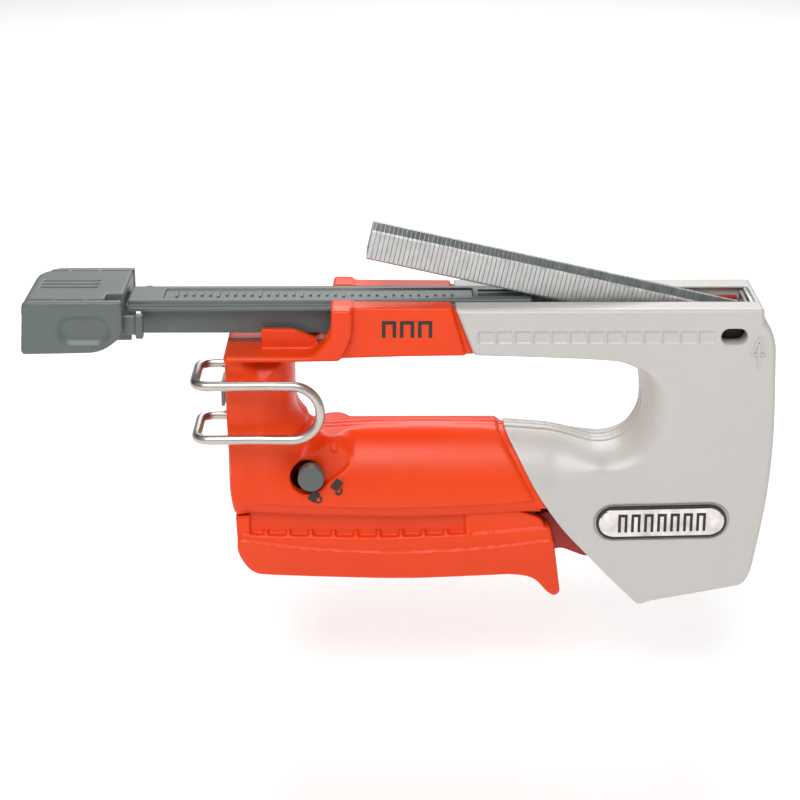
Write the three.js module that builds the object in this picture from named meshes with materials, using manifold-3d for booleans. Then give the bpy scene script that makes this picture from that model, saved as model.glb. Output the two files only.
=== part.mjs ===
// Hand-squeezed staple gun lying base up, with its magazine rail drawn back for loading.
// Millimetres. X runs towards the nose, Z up out of the base face, Y away from the viewer.
// The origin is on the base face, on the mid plane, in the middle of the nose's front wall.
import * as THREE from 'three';
import { mergeVertices } from 'three/addons/utils/BufferGeometryUtils.js';
import Module from 'manifold-3d';

const wasm = await Module();
wasm.setup();

// ---- driving dimensions -------------------------------------------------------------
const gap = 0.3; // clearance between neighbouring pieces
const wall = 2.0; // thickness of the moulded shells
const seam = 0.15; // half of the joint line between left and right shells
const coverHalf = 14.6; // half width of the silver nose covers
const panelHalf = 13.4; // half width of the orange panel beside the channel
const rearHalf = 16.3; // half width of the orange body at the knob
const gripHalf = 15.8; // half width of the hand grip
const columnHalf = 15.2; // half width of the rear column
const panelStart = -112.2; // where the wide rear part steps in to the panel
const bodyRear = -147.4;
const floorZ = -13.0; // ledge the knob slides over
const railLeft = -117.3; // rear end of the channel body
const slotHalf = 6.7; // opening in the base face
const grooveHalf = 8.2; // undercut below the base face that holds the rail's lips
const lipZ = -1.1;
const trackZ = -13.2;
const noseWall = -1.6; // inner face of the front wall
const frontEdge = 0.8; // the outlines start at the nose's front edge, this far ahead of the origin
const crown = 10.6; // outside width of a staple
const leg = 8.5;
const stripLength = 104.3;
const stripTilt = THREE.MathUtils.degToRad(12.9);
const stripRear = [-106.0, 19.8]; // top rear corner of the staple stick
const stripWire = 0.7;
const channelWall = 1.0;
const channelHalf = 6.6;
const channelTop = -2.9;
const channelFloor = -12.0;
const capHalf = 6.4;
const capTop = 0.5;
const lipHalf = 7.8;
const railRear = -173.2;
const railFront = -62.6;
const coreHalf = 4.6;
const coreBottom = -9.6;
const coreWall = 1.1;
const rodZ = -6.7;
const knobRear = -201.8;
const knobFront = -173.5;
const knobTop = 1.6;
const knobBottom = -12.0;
const knobHalf = 16.5;
const padSlit = 13.0; // distance of the slit beside each latch pad from the mid plane
const padWall = 2.1;
const grooveSpots = [-2.4, 0.6, 3.7]; // finger grooves across the top of the knob
const hookPocket = [10.0, 14.3]; // the latch hooks run in here, distances from the mid plane
const pivot = [-39.6, -60.0]; // lever axis, x and z
const pinRadius = 3.0;
const armHalf = 8.0;
const springX = -13.0;
const mainSpringBottom = -79.2;
const mainSpringTop = -46.6;
const hammerTop = -38.0;
const hammerBottom = -46.2;
const bladeX = [-4.0, -3.2];
const lockClosed = [-123.4, -48.1];
const lockOpen = [-118.1, -43.6];
const lockPocket = 5.8; // half width of the recess the lock button runs in
const lockFloor = 13.0; // distance of the recess floor from the mid plane
const lockRadius = 3.65;
const wireRadius = 1.35;
const hookReach = 19.4; // how far the belt hook stands off the mid plane
const hookZ = [-20.0, -35.6];
const hookX = [-156.0, -127.5];
const screwSpots = {
  column: [-137.5, -28.0], grip: [-76.5, -51.0], nose: [-24.0, -20.5], heel: [-26.0, -79.0],
};
const screwRadius = 1.5;
const headRadius = 3.0;
const bossRadius = 3.6;

// side outlines as [x, z, corner radius]
const coverOutline = [
  [-83.7, 0, 0.5], [0, 0, 0.8], [0.2, -4.0, 0.4], [2.0, -5.4, 0.8], [3.7, -10.0, 2.5], [4.9, -38, 12],
  [3.9, -57, 8], [0.7, -78, 3], [-1.2, -82.4, 3], [-31.2, -88.2, 1.2], [-38.9, -80.5, 4],
  [-53.0, -65.2, 4], [-59.9, -55.2, 4], [-66.0, -43.8, 3], [-69.9, -37.6, 0.6], [-56, -38.7, 4],
  [-50, -40.6, 3], [-42.6, -42.9, 4], [-35.2, -40.4, 3.5], [-31.2, -33, 4], [-31.6, -24, 4],
  [-33.2, -18.5, 2.5], [-38.0, -16.1, 2.5], [-46, -15.4, 4], [-62, -14.7, 4], [-78.2, -14.2, 1.2],
];
const coverCavity = [
  [-28.9, -15.4, 1], [noseWall, -15.4, 0.6], [1.9, -22, 2], [2.8, -38, 6], [1.8, -56.5, 6], [-1.6, -77.2, 2],
  [-3.2, -80.2, 1.5], [-31.0, -85.7, 0], [-37.5, -90, 0], [-76, -50, 0], [-74, -39.8, 0],
  [-56.4, -40.9, 3], [-50, -42.9, 3], [-42.6, -45.3, 3], [-33.9, -42.4, 3], [-29.0, -34, 3],
];
const handleOutline = [
  [railLeft, 0.4, 0.6], [-84.6, 0.1, 0.4], [-80.6, -13.6, 0.8], [-98, -13.8, 2], [-114, -14.3, 2],
  [-128.1, -14.7, 1.2], [-128.2, -32.2, 5], [-122, -38.3, 4], [-110, -37.4, 4], [-93, -36.9, 4],
  [-82, -37.1, 4], [-71.3, -37.5, 0.6], [-67.3, -43.8, 3], [-61.0, -55.4, 3], [-58.0, -60.2, 1.6],
  [-64.4, -59.9, 1.5], [-76, -60.7, 4], [-92.9, -61.3, 4], [-104, -61.3, 4], [-126.6, -60.7, 4],
  [-144.6, -59.8, 1.2], [-145.8, -54, 3], [-147.0, -42, 4], [bodyRear, -31, 4], [bodyRear, floorZ, 1.0],
  [-122.6, floorZ, 2], [railLeft, -7.2, 4],
];
const gripCavity = [
  [-142.6, -56, 1], [-142.6, -70, 0], [-50, -70, 0], [-62.0, -40.2, 0], [-82, -39.3, 3], [-93, -39.0, 3],
  [-110, -39.6, 3], [-124.5, -40.8, 3], [-130.5, -37, 3], [-131.0, -30, 3], [-131.0, -16.6, 1],
  [-145.2, -16.6, 1], [-145.0, -33, 3], [-144.4, -44, 3],
];
const leverOutline = [
  [-143.4, -67.0, 1.0], [-138.4, -67.6, 2], [-104, -68.2, 4], [-92.9, -67.8, 4], [-78.2, -67.1, 4],
  [-56.6, -64.9, 0.6], [-55.1, -70.8, 2], [-52.9, -86.6, 0.9], [-54.5, -88.0, 0.7], [-56.7, -86.6, 1.5],
  [-60.6, -81.2, 4], [-66.5, -79.9, 4], [-92.7, -81.0, 4], [-104.1, -81.0, 4], [-127, -80.4, 4],
  [-140.6, -79.9, 4], [-143.9, -74.6, 2.5], [-144.9, -70.4, 1.5],
];
const leverTopOutline = [
  [-141.4, -68.6, 0], [-141.8, -55.6, 1.5], [-112, -56.6, 3], [-72, -57.4, 3], [-63.2, -60.6, 2],
  [-59.2, -62.2, 1], [-56.9, -66.6, 0.5], [-57.4, -68.6, 0],
];
const leverCavity = [
  [-139.2, -50, 0], [-139.2, -74, 2], [-136, -77.4, 3], [-104, -78.6, 4], [-92.7, -78.6, 4], [-68, -77.6, 4],
  [-60.5, -76.8, 2], [-58.6, -67, 1], [-61.5, -50, 0],
];
const armOutline = [
  [-98, -60.8, 1.5], [-66, -60.4, 2], [-60.5, -63.4, 2], [-52.6, -60.8, 4], [-47.4, -54.4, 3],
  [-40, -52.4, 4], [-33.0, -55.4, 3], [-23.2, -58.4, 1.2], [-24.0, -61.6, 1.2], [-33.6, -66.4, 3],
  [-38.0, -72.4, 4], [-45.4, -76.2, 2], [-53.4, -72.9, 2], [-58, -75.4, 2], [-98, -75.6, 1.5],
];
const catchOutline = [[-136.8, -13.5, 0], [-136.8, -7.4, 0.5], [-127.6, -7.5, 1.5], [-121.2, -10.4, 0.6],
  [-121.2, -13.5, 0]];

// ---- geometry helpers ---------------------------------------------------------------
function roundedShape(points, bevel = 0) {
  const shape = new THREE.Shape();
  const n = points.length;
  const at = (i) => new THREE.Vector2(points[(i + n) % n][0], points[(i + n) % n][1]);
  const segments = [];
  for (let i = 0; i < n; i += 1) {
    const here = at(i);
    const r = points[i][2] ?? 0;
    if (r <= 0 || r < 3.2 * bevel) {
      segments.push(here);
      continue;
    }
    const back = at(i - 1).sub(here);
    const ahead = at(i + 1).sub(here);
    const reach = Math.min(r, back.length() * 0.45, ahead.length() * 0.45);
    if (reach < 2.6 * bevel) {
      segments.push(here);
      continue;
    }
    const from = here.clone().add(back.setLength(reach));
    const to = here.clone().add(ahead.setLength(reach));
    const turn = Math.abs(back.angleTo(ahead));
    const steps = turn > 2.6 ? 2 : 4;
    const curve = new THREE.QuadraticBezierCurve(from, here, to);
    segments.push(...curve.getPoints(steps));
  }
  shape.setFromPoints(segments);
  return shape;
}

function toSolid(geometry) {
  const bare = new THREE.BufferGeometry();
  bare.setAttribute('position', geometry.getAttribute('position'));
  if (geometry.index) bare.setIndex(geometry.index);
  const merged = mergeVertices(bare, 1e-4);
  const source = new wasm.Mesh({
    numProp: 3,
    vertProperties: new Float32Array(merged.getAttribute('position').array),
    triVerts: new Uint32Array(merged.index.array),
  });
  return new wasm.Manifold(source);
}

const alongY = new THREE.Matrix4().set(1, 0, 0, 0, 0, 0, -1, 0, 0, 1, 0, 0, 0, 0, 0, 1);
const alongX = new THREE.Matrix4().set(0, 0, 1, 0, 1, 0, 0, 0, 0, 1, 0, 0, 0, 0, 0, 1);

// a side outline in x and z carried across the width from y0 to y1
function slab(points, y0, y1, bevel = 0, segments = 2) {
  const geometry = new THREE.ExtrudeGeometry(roundedShape(points, bevel), {
    depth: y1 - y0 - 2 * bevel,
    bevelEnabled: bevel > 0,
    bevelThickness: bevel,
    bevelSize: bevel,
    bevelOffset: -bevel,
    bevelSegments: segments,
    curveSegments: 8,
  });
  geometry.applyMatrix4(alongY);
  geometry.translate(0, y1 - bevel, 0);
  return toSolid(geometry);
}

// a cross-section in y and z carried along the length from x0 to x1
function bar(points, x0, x1) {
  const geometry = new THREE.ExtrudeGeometry(roundedShape(points), {
    depth: x1 - x0, bevelEnabled: false, curveSegments: 8,
  });
  geometry.applyMatrix4(alongX);
  geometry.translate(x0, 0, 0);
  return toSolid(geometry);
}

function block(x0, x1, y0, y1, z0, z1) {
  const geometry = new THREE.BoxGeometry(x1 - x0, y1 - y0, z1 - z0);
  geometry.translate((x0 + x1) / 2, (y0 + y1) / 2, (z0 + z1) / 2);
  return toSolid(geometry);
}

function crossPin([x, z], radius, y0, y1, sides = 20) {
  const geometry = new THREE.CylinderGeometry(radius, radius, y1 - y0, sides);
  geometry.translate(x, (y0 + y1) / 2, z);
  return toSolid(geometry);
}

function tube(curve, radius, steps, sides) {
  const ring = new THREE.Shape();
  for (let i = 0; i < sides; i += 1) {
    const a = (i / sides) * 2 * Math.PI;
    if (i === 0) ring.moveTo(radius, 0);
    else ring.lineTo(radius * Math.cos(a), radius * Math.sin(a));
  }
  const geometry = new THREE.ExtrudeGeometry(ring, { steps, extrudePath: curve });
  return toSolid(geometry);
}

function helix(centre, axis, radius, length, turns, stepsPerTurn) {
  const points = [];
  for (let i = 0; i <= turns * stepsPerTurn; i += 1) {
    const a = (i / stepsPerTurn) * 2 * Math.PI;
    const along = (i / (turns * stepsPerTurn)) * length;
    const c = radius * Math.cos(a);
    const s = radius * Math.sin(a);
    if (axis === 'z') points.push(new THREE.Vector3(centre[0] + c, centre[1] + s, centre[2] + along));
    if (axis === 'x') points.push(new THREE.Vector3(centre[0] + along, centre[1] + c, centre[2] + s));
    if (axis === 'y') points.push(new THREE.Vector3(centre[0] + c, centre[1] + along, centre[2] + s));
  }
  return new THREE.CatmullRomCurve3(points);
}

// calls make(y0, y1) with a pair of distances from the mid plane, on the near side (-1) or the far side (1)
function across([inner, outer], side, make) {
  return make(Math.min(inner * side, outer * side), Math.max(inner * side, outer * side));
}

const far = 400;
const leftHalf = block(-far, far, -far, -seam, -far, far);
const rightHalf = block(-far, far, seam, far, -far, far);

// slanted stadium from the closed to the open lock position
function lockSlot(radius, y0, y1) {
  const angle = Math.atan2(lockOpen[1] - lockClosed[1], lockOpen[0] - lockClosed[0]);
  const points = [];
  const steps = 8;
  for (let i = 0; i <= steps; i += 1) {
    const a = angle - Math.PI / 2 + (i / steps) * Math.PI;
    points.push([lockOpen[0] + radius * Math.cos(a), lockOpen[1] + radius * Math.sin(a), 0]);
  }
  for (let i = 0; i <= steps; i += 1) {
    const a = angle + Math.PI / 2 + (i / steps) * Math.PI;
    points.push([lockClosed[0] + radius * Math.cos(a), lockClosed[1] + radius * Math.sin(a), 0]);
  }
  return slab(points, y0, y1);
}

// ---- shared track that the magazine slides in ---------------------------------------
function track(x0, x1) {
  return block(x0, x1, -slotHalf, slotHalf, lipZ - 0.2, 5)
    .add(block(x0, x1, -grooveHalf, grooveHalf, trackZ, lipZ));
}

// ---- silver nose covers -------------------------------------------------------------
function noseCovers() {
  const bevel = 1.5;
  const tongue = [
    [-coverHalf, -95, 0], [-coverHalf, -48, 9], [-5.5, -36.4, 4], [5.5, -36.4, 4], [coverHalf, -48, 9],
    [coverHalf, -95, 0],
  ];
  const tongueHollow = [
    [-coverHalf + wall, -95, 0], [-coverHalf + wall, -49.2, 0], [-5.2, -39.8, 0], [5.2, -39.8, 0],
    [coverHalf - wall, -49.2, 0], [coverHalf - wall, -95, 0],
  ];
  const tongueZone = block(-90, -36, -40, 40, -60, -30);
  const within = (body, section) => body.subtract(tongueZone)
    .add(body.intersect(tongueZone).intersect(bar(section, -90, -36)));
  let solid = within(slab(coverOutline, -coverHalf, coverHalf, bevel, 3), tongue);
  solid = solid.subtract(within(slab(coverCavity, -coverHalf + wall, coverHalf - wall), tongueHollow));
  solid = solid.subtract(track(-90, noseWall));
  solid = solid.subtract(block(-12.3, noseWall, -grooveHalf, grooveHalf, -16, -12));
  const windowOutline = [[-11.4, -5.6, 2.2], [-11.4, -10.0, 2.2], [-4.5, -10.0, 2.2], [-4.5, -5.6, 2.2]];
  const windowHole = slab(windowOutline, -20, 20);
  solid = solid.subtract(windowHole.subtract(block(-20, 5, -grooveHalf, grooveHalf, -20, 5)));
  for (const side of [-1, 1]) {
    const bossEnds = [9.0, coverHalf - wall + 0.4];
    solid = solid.add(across(bossEnds, side, (y0, y1) => crossPin(pivot, 5.6, y0, y1, 24)));
  }
  solid = solid.subtract(crossPin(pivot, pinRadius + 0.15, -coverHalf + 2.2, coverHalf - 2.2, 24));
  return addScrewBosses(solid, [screwSpots.nose, screwSpots.heel], coverHalf);
}

function addScrewBosses(body, spots, half) {
  let solid = body;
  for (const spot of spots) {
    solid = solid.add(crossPin(spot, bossRadius, -half + 1.0, half - 1.0, 20));
    solid = solid.subtract(crossPin(spot, screwRadius + 0.15, -half + 4, half + 1, 16));
    solid = solid.subtract(crossPin(spot, headRadius + 0.3, half - 2.6, half + 1, 20));
  }
  return solid;
}

// ---- orange handle shells -----------------------------------------------------------
function handleShells() {
  let solid = slab(handleOutline, -rearHalf, rearHalf, 0.6, 1);
  // the panel beside the channel is narrower than the rear part
  const besidePanel = [[panelStart, 2], [panelStart + 1.4, -18.4], [-78, -18.4], [-78, 2]];
  solid = solid.subtract(slab(besidePanel, -far, -panelHalf)).subtract(slab(besidePanel, panelHalf, far));
  // rounded cross-section of the grip, and the slightly narrower column
  const gripSection = [
    [-gripHalf + 0.8, -59.0, 0.4], [-gripHalf + 1.4, -57.6, 1], [-gripHalf, -53, 3], [-gripHalf, -47.6, 8],
    [-6, -36.2, 5], [6, -36.2, 5], [gripHalf, -47.6, 8], [gripHalf, -53, 3], [gripHalf - 1.4, -57.6, 1],
    [gripHalf - 0.8, -59.0, 0.4], [gripHalf - 0.8, -70, 0], [-gripHalf + 0.8, -70, 0],
  ];
  const gripZone = block(-127.0, -50, -40, 40, -75, -30);
  solid = solid.subtract(gripZone).add(solid.intersect(gripZone).intersect(bar(gripSection, -140, -50)));
  const columnSection = block(-160, -127.0, -columnHalf, columnHalf, -75, floorZ - 1.2);
  const columnZone = block(-160, -127.0, -40, 40, -75, floorZ - 1.2);
  solid = solid.subtract(columnZone).add(solid.intersect(columnZone).intersect(columnSection));
  // hollow for the lever, channel track and latch pockets
  const hollowSection = [[-12.4, -95], [-12.4, -48.2], [-5, -39.6], [5, -39.6], [12.4, -48.2], [12.4, -95]];
  const hollow = slab(gripCavity, -12.4, 12.4);
  solid = solid.subtract(hollow.intersect(gripZone).intersect(bar(hollowSection, -140, -50)));
  solid = solid.subtract(hollow.subtract(gripZone));
  solid = solid.subtract(track(-122.7, -78).subtract(block(-123, -116, -30, 30, -30, floorZ)));
  for (const side of [-1, 1]) {
    solid = solid.subtract(across(hookPocket, side,
      (y0, y1) => block(railLeft - 6, -112.7, y0, y1, -9.4, -0.9)));
    solid = solid.add(across([6.3, 8.4], side, (y0, y1) => slab(catchOutline, y0, y1)));
  }
  // lock recesses, their slots and the belt hook holes
  solid = solid.subtract(lockSlot(lockPocket, -30, -lockFloor)).subtract(lockSlot(lockPocket, lockFloor, 30));
  solid = solid.subtract(lockSlot(2.9, -30, 30));
  for (const z of hookZ) solid = solid.subtract(rodX(bodyRear - 6, bodyRear + 6, z, wireRadius + gap, 16));
  solid = addScrewBosses(solid, [screwSpots.column], columnHalf);
  return addScrewBosses(solid, [screwSpots.grip], gripHalf);
}

// ---- lever --------------------------------------------------------------------------
function leverShell() {
  const half = 14.6;
  const section = [
    [-9.6, -90, 0], [-13.0, -79, 3], [-half, -71.6, 0.8], [-half, -60, 0], [half, -60, 0],
    [half, -71.6, 0.8], [13.0, -79, 3], [9.6, -90, 0],
  ];
  let solid = slab(leverOutline, -half, half, 0.9, 1).intersect(bar(section, -150, -50));
  solid = solid.add(slab(leverTopOutline, -11.6, 11.6));
  const ribPitch = 6.3;
  for (let x = -136.2; x < -60; x += ribPitch) {
    for (const side of [-1, 1]) {
      solid = solid.add(across([11.0, 12.6], side, (y0, y1) => block(x - 0.8, x + 0.8, y0, y1, -68.6, -64.8)));
    }
  }
  solid = solid.subtract(slab(leverCavity, -9.5, 9.5));
  solid = solid.subtract(block(-63, -50, -armHalf - gap, armHalf + gap, -76.4, -55));
  return solid;
}

function leverArm() {
  let solid = slab(armOutline, -armHalf, armHalf);
  solid = solid.subtract(crossPin(pivot, pinRadius + 0.05, -20, 20, 24));
  solid = solid.subtract(block(-49, -20, -5.2, 5.2, -78, -50));
  solid = solid.subtract(block(-94, -62, -armHalf + 2, armHalf - 2, -74, -50));
  return solid;
}

// ---- magazine rail ------------------------------------------------------------------
function railCap() {
  const section = [
    [-capHalf, capTop, 0.4], [-capHalf, -1.4, 0], [-lipHalf, -1.4, 0.2], [-lipHalf, -2.5, 0.2],
    [lipHalf, -2.5, 0.2], [lipHalf, -1.4, 0.2], [capHalf, -1.4, 0], [capHalf, capTop, 0.4],
  ];
  let solid = bar(section, railRear, railFront);
  solid = solid.subtract(block(-163, -79, -4.2, 4.2, capTop - 0.5, 5));
  for (const y of [-2.9, 1.1]) solid = solid.subtract(block(-77.5, -65, y, y + 1.8, -6, 5));
  return solid;
}

function railCore() {
  const solid = block(-170, railFront - 1.6, -coreHalf, coreHalf, coreBottom, -2.8);
  return solid.subtract(block(-168.5, far, -coreHalf + coreWall, coreHalf - coreWall, -20, -2.8 - coreWall));
}

function follower() {
  const back = -76;
  const front = -67.5;
  let solid = block(back, front, -5.35, 5.35, -11.0, -3.4);
  solid = solid.subtract(block(back - 1, front + 1, -coreHalf - 0.2, coreHalf + 0.2, coreBottom - 0.3, -2));
  const tab = block(back, front, -3.1, 3.1, coreBottom - 0.5, -4.4);
  return solid.add(tab).subtract(rodX(-92, -52, rodZ, 1.45, 16));
}

function knob() {
  const planOutline = [
    [knobRear, -knobHalf + 6, 3], [knobRear, knobHalf - 9, 6], [knobRear + 5.5, knobHalf, 4],
    [knobFront, knobHalf, 0.8], [knobFront, -knobHalf, 0.8], [knobRear + 1, -knobHalf, 1],
  ];
  const plan = new THREE.ExtrudeGeometry(roundedShape(planOutline), {
    depth: knobTop - knobBottom, bevelEnabled: false, curveSegments: 8,
  });
  plan.translate(0, 0, knobBottom);
  let solid = toSolid(plan);
  const side = [
    [knobRear, knobTop, 1.2], [knobFront, knobTop, 0.6], [knobFront, -6.6, 2], [-179.6, -11.3, 4],
    [knobRear + 0.4, knobBottom, 1.5],
  ];
  solid = solid.intersect(slab(side, -20, 20));
  // hollow underneath, open to the front
  const hollowHalf = knobHalf - padWall - gap;
  solid = solid.subtract(block(knobRear + wall, 0, -hollowHalf, hollowHalf, -20, -3.0));
  // leave room for the two latch pads
  for (const s of [-1, 1]) {
    solid = solid.subtract(across([padSlit, 20], s, (y0, y1) => block(knobRear + 3.2, 0, y0, y1, -20, 5)));
  }
  // notch at the front corner and three finger grooves
  solid = solid.subtract(block(-178.4, 0, -20, -lipHalf - 0.6, -20, 5));
  for (const y of grooveSpots) solid = solid.subtract(block(-197.2, -181.8, y - 0.45, y + 0.45, 0.9, 5));
  // seat for the rail
  solid = solid.subtract(block(railRear - 10 - gap, 0, -coreHalf - gap, coreHalf + gap, -20, -2.6));
  return solid;
}

function latchPad(s) {
  const outline = [
    [knobRear + 3.5, knobTop, 0.6], [knobFront, knobTop, 0.6], [knobFront, -6.6, 2], [-179.6, -11.3, 4],
    [knobRear + 3.5, knobBottom, 1.0],
  ];
  const inner = knobHalf - padWall;
  const top = across([padSlit + gap, inner + 0.1], s, (y0, y1) => block(knobRear + 3.5, knobFront - 0.1, y0, y1,
    -0.2, knobTop - 0.3));
  const thumb = [[-192.2, -0.4, 4], [-192.2, -9.7, 4], [-175.9, -9.7, 4], [-175.9, -0.4, 4]];
  const recess = across([knobHalf - 0.6, 20], s, (y0, y1) => slab(thumb, y0, y1));
  // hook that snaps into the pocket in the handle
  const arm = across([11.6, 12.9], s, (y0, y1) => block(-175.4, -169.4, y0, y1, -7.9, -3.4));
  const bridge = across([12.0, inner + 0.1], s, (y0, y1) => block(-178.0, -175.0, y0, y1, -7.9, -3.4));
  const hook = across([11.6, 13.9], s, (y0, y1) => block(-170.6, -168.6, y0, y1, -8.4, -2.6));
  return across([inner, knobHalf], s, (y0, y1) => slab(outline, y0, y1))
    .add(top).subtract(recess).add(arm).add(bridge).add(hook);
}

// ---- staples ------------------------------------------------------------------------
function staples() {
  const h = crown / 2;
  const section = [
    [-h, 0, 0], [-h, -leg, 0.3], [h, -leg, 0.3], [h, 0, 0], [h - stripWire, 0, 0],
    [h - stripWire, -leg + stripWire, 0], [-h + stripWire, -leg + stripWire, 0], [-h + stripWire, 0, 0],
  ];
  return bar(section, 0, stripLength)
    .rotate([0, THREE.MathUtils.radToDeg(stripTilt), 0]).translate([stripRear[0], 0, stripRear[1]]);
}

// ---- belt hook ----------------------------------------------------------------------
function beltHook() {
  const corner = 4.5;
  const loopRadius = (hookZ[0] - hookZ[1]) / 2;
  const middle = (hookZ[0] + hookZ[1]) / 2;
  const inner = bodyRear + 4; // the wire ends this far inside the rear wall
  const point = (x, y, z) => new THREE.Vector3(x, y, z);
  const bend = (a, b, c) => new THREE.QuadraticBezierCurve3(a, b, c);
  const [rear, front] = hookX;
  const points = [];
  const addLine = (a, b, n) => { for (let i = 0; i < n; i += 1) points.push(a.clone().lerp(b, i / n)); };
  const addCurve = (curve, n) => { points.push(...curve.getPoints(n).slice(0, -1)); };
  const [top, bottom] = hookZ;
  addLine(point(inner, 0, top), point(rear + corner, 0, top), 2);
  addCurve(bend(point(rear + corner, 0, top), point(rear, 0, top), point(rear, -corner, top)), 5);
  addLine(point(rear, -corner, top), point(rear, -hookReach + corner, top), 2);
  addCurve(bend(point(rear, -hookReach + corner, top), point(rear, -hookReach, top),
    point(rear + corner, -hookReach, top)), 5);
  addLine(point(rear + corner, -hookReach, top), point(front, -hookReach, top), 3);
  const turnSteps = 12;
  for (let i = 0; i < turnSteps; i += 1) {
    const a = Math.PI / 2 - (i / turnSteps) * Math.PI;
    points.push(point(front + loopRadius * Math.cos(a), -hookReach, middle + loopRadius * Math.sin(a)));
  }
  addLine(point(front, -hookReach, bottom), point(rear + corner, -hookReach, bottom), 3);
  addCurve(bend(point(rear + corner, -hookReach, bottom), point(rear, -hookReach, bottom),
    point(rear, -hookReach + corner, bottom)), 5);
  addLine(point(rear, -hookReach + corner, bottom), point(rear, -corner, bottom), 2);
  addCurve(bend(point(rear, -corner, bottom), point(rear, 0, bottom), point(rear + corner, 0, bottom)), 5);
  addLine(point(rear + corner, 0, bottom), point(inner, 0, bottom), 2);
  points.push(point(inner, 0, bottom));
  return tube(new THREE.CatmullRomCurve3(points, false, 'centripetal'), wireRadius, 76, 10);
}

function badge(s) {
  const shape = [[-43.4, -57.9, 4.6], [-43.4, -67.4, 4.6], [-7.3, -66.8, 4.6], [-7.3, -57.3, 4.6]];
  return across([coverHalf + 0.05, coverHalf + 0.75], s, (y0, y1) => slab(shape, y0, y1));
}

function postZ(x, radius, z0, z1) {
  const geometry = new THREE.CylinderGeometry(radius, radius, z1 - z0, 20);
  geometry.rotateX(Math.PI / 2);
  geometry.translate(x, 0, (z0 + z1) / 2);
  return toSolid(geometry);
}

function rodX(x0, x1, z, radius, sides) {
  const geometry = new THREE.CylinderGeometry(radius, radius, x1 - x0, sides);
  geometry.rotateZ(Math.PI / 2);
  geometry.translate((x0 + x1) / 2, 0, z);
  return toSolid(geometry);
}

function screw([x, z], half) {
  const head = crossPin([x, z], headRadius, half - 2.5, half - 0.6, 20);
  const shank = crossPin([x, z], screwRadius, -half + 5.2, half - 2.4, 12);
  const slot = block(x - 2, x + 2, half - 1.4, half, z - 0.4, z + 0.4)
    .add(block(x - 0.4, x + 0.4, half - 1.4, half, z - 2, z + 2));
  return head.add(shank).subtract(slot);
}

// ---- assemble -----------------------------------------------------------------------
const paint = {
  orange: { color: 0xf04a22, roughness: 0.42, metalness: 0 },
  darkRed: { color: 0x8e1519, roughness: 0.55, metalness: 0 },
  silver: { color: 0xc9c6c1, roughness: 0.45, metalness: 0.3 },
  steel: { color: 0x9a9c9c, roughness: 0.35, metalness: 1 },
  darkSteel: { color: 0x4a4c4a, roughness: 0.4, metalness: 1 },
  grey: { color: 0x8d9391, roughness: 0.5, metalness: 0 },
  darkGrey: { color: 0x5a605d, roughness: 0.5, metalness: 0 },
  chrome: { color: 0xe4e4e4, roughness: 0.12, metalness: 1 },
  rubber: { color: 0x1c1c1c, roughness: 0.9, metalness: 0 },
};

const tool = new THREE.Group();
tool.name = 'staple_gun';

function addPiece(name, solid, look) {
  const mesh = solid.getMesh();
  const geometry = new THREE.BufferGeometry();
  geometry.setAttribute('position', new THREE.BufferAttribute(new Float32Array(mesh.vertProperties), 3));
  geometry.setIndex(new THREE.BufferAttribute(new Uint32Array(mesh.triVerts), 1));
  geometry.translate(frontEdge, 0, 0);
  geometry.computeVertexNormals();
  const piece = new THREE.Mesh(geometry, new THREE.MeshStandardMaterial(look));
  piece.name = name;
  tool.add(piece);
}

const handle = handleShells();
addPiece('handle_shell_left', handle.intersect(leftHalf), paint.orange);
addPiece('handle_shell_right', handle.intersect(rightHalf), paint.orange);
const covers = noseCovers();
// the left cover carries the middle of the front wall, so the joint line steps aside there
const bridge = block(noseWall - 0.1, 3, -1, 3.0, -4, 1);
const bridgeRoom = block(noseWall - 1, 3.2, -1, 3.0 + gap, -4 - gap, 1);
addPiece('nose_cover_left', covers.intersect(leftHalf.add(bridge)), paint.silver);
addPiece('nose_cover_right', covers.intersect(rightHalf.subtract(bridgeRoom)), paint.silver);
addPiece('badge_left', badge(-1), paint.chrome);
addPiece('badge_right', badge(1), paint.chrome);

const channel = block(-116.8, -12.3, -channelHalf, channelHalf, channelFloor - 0.8, channelTop)
  .subtract(block(-130, 0, -channelHalf + channelWall, channelHalf - channelWall, channelFloor, 0));
addPiece('staple_channel', channel, paint.steel);

const frame = block(-12.0, -4.4, -7.9, 7.9, -32, -2.9)
  .subtract(block(-13, 0, -channelHalf + channelWall, channelHalf - channelWall, channelFloor, 0))
  .subtract(block(-9, 0, -5.6, 5.6, -40, channelFloor - 2.0));
addPiece('inner_frame', frame, paint.darkRed);
addPiece('nose_guide_plate', block(-2.8, -1.9, -6.3, 6.3, -34, -0.3), paint.steel);
addPiece('striker_blade', block(bladeX[0], bladeX[1], -5.2, 5.2, -48, -0.8), paint.darkSteel);
addPiece('hammer', block(-21.4, bladeX[0] - gap, -8, 8, hammerBottom, hammerTop), paint.darkSteel);
addPiece('bumper', block(-19, -6, -7.5, 7.5, hammerTop + gap, -33.6), paint.rubber);
const mainLength = mainSpringTop - mainSpringBottom - 2.0;
const mainSpring = helix([springX, 0, mainSpringBottom + 1.0], 'z', 6.2, mainLength, 6, 14);
addPiece('main_spring', tube(mainSpring, 0.95, 84, 6), paint.steel);
const seat = block(-22.4, -5.0, -9, 9, -80.4, mainSpringBottom - 0.2)
  .add(postZ(springX, 4.6, mainSpringBottom - 0.4, -74));
addPiece('spring_seat', seat, paint.darkRed);

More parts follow.
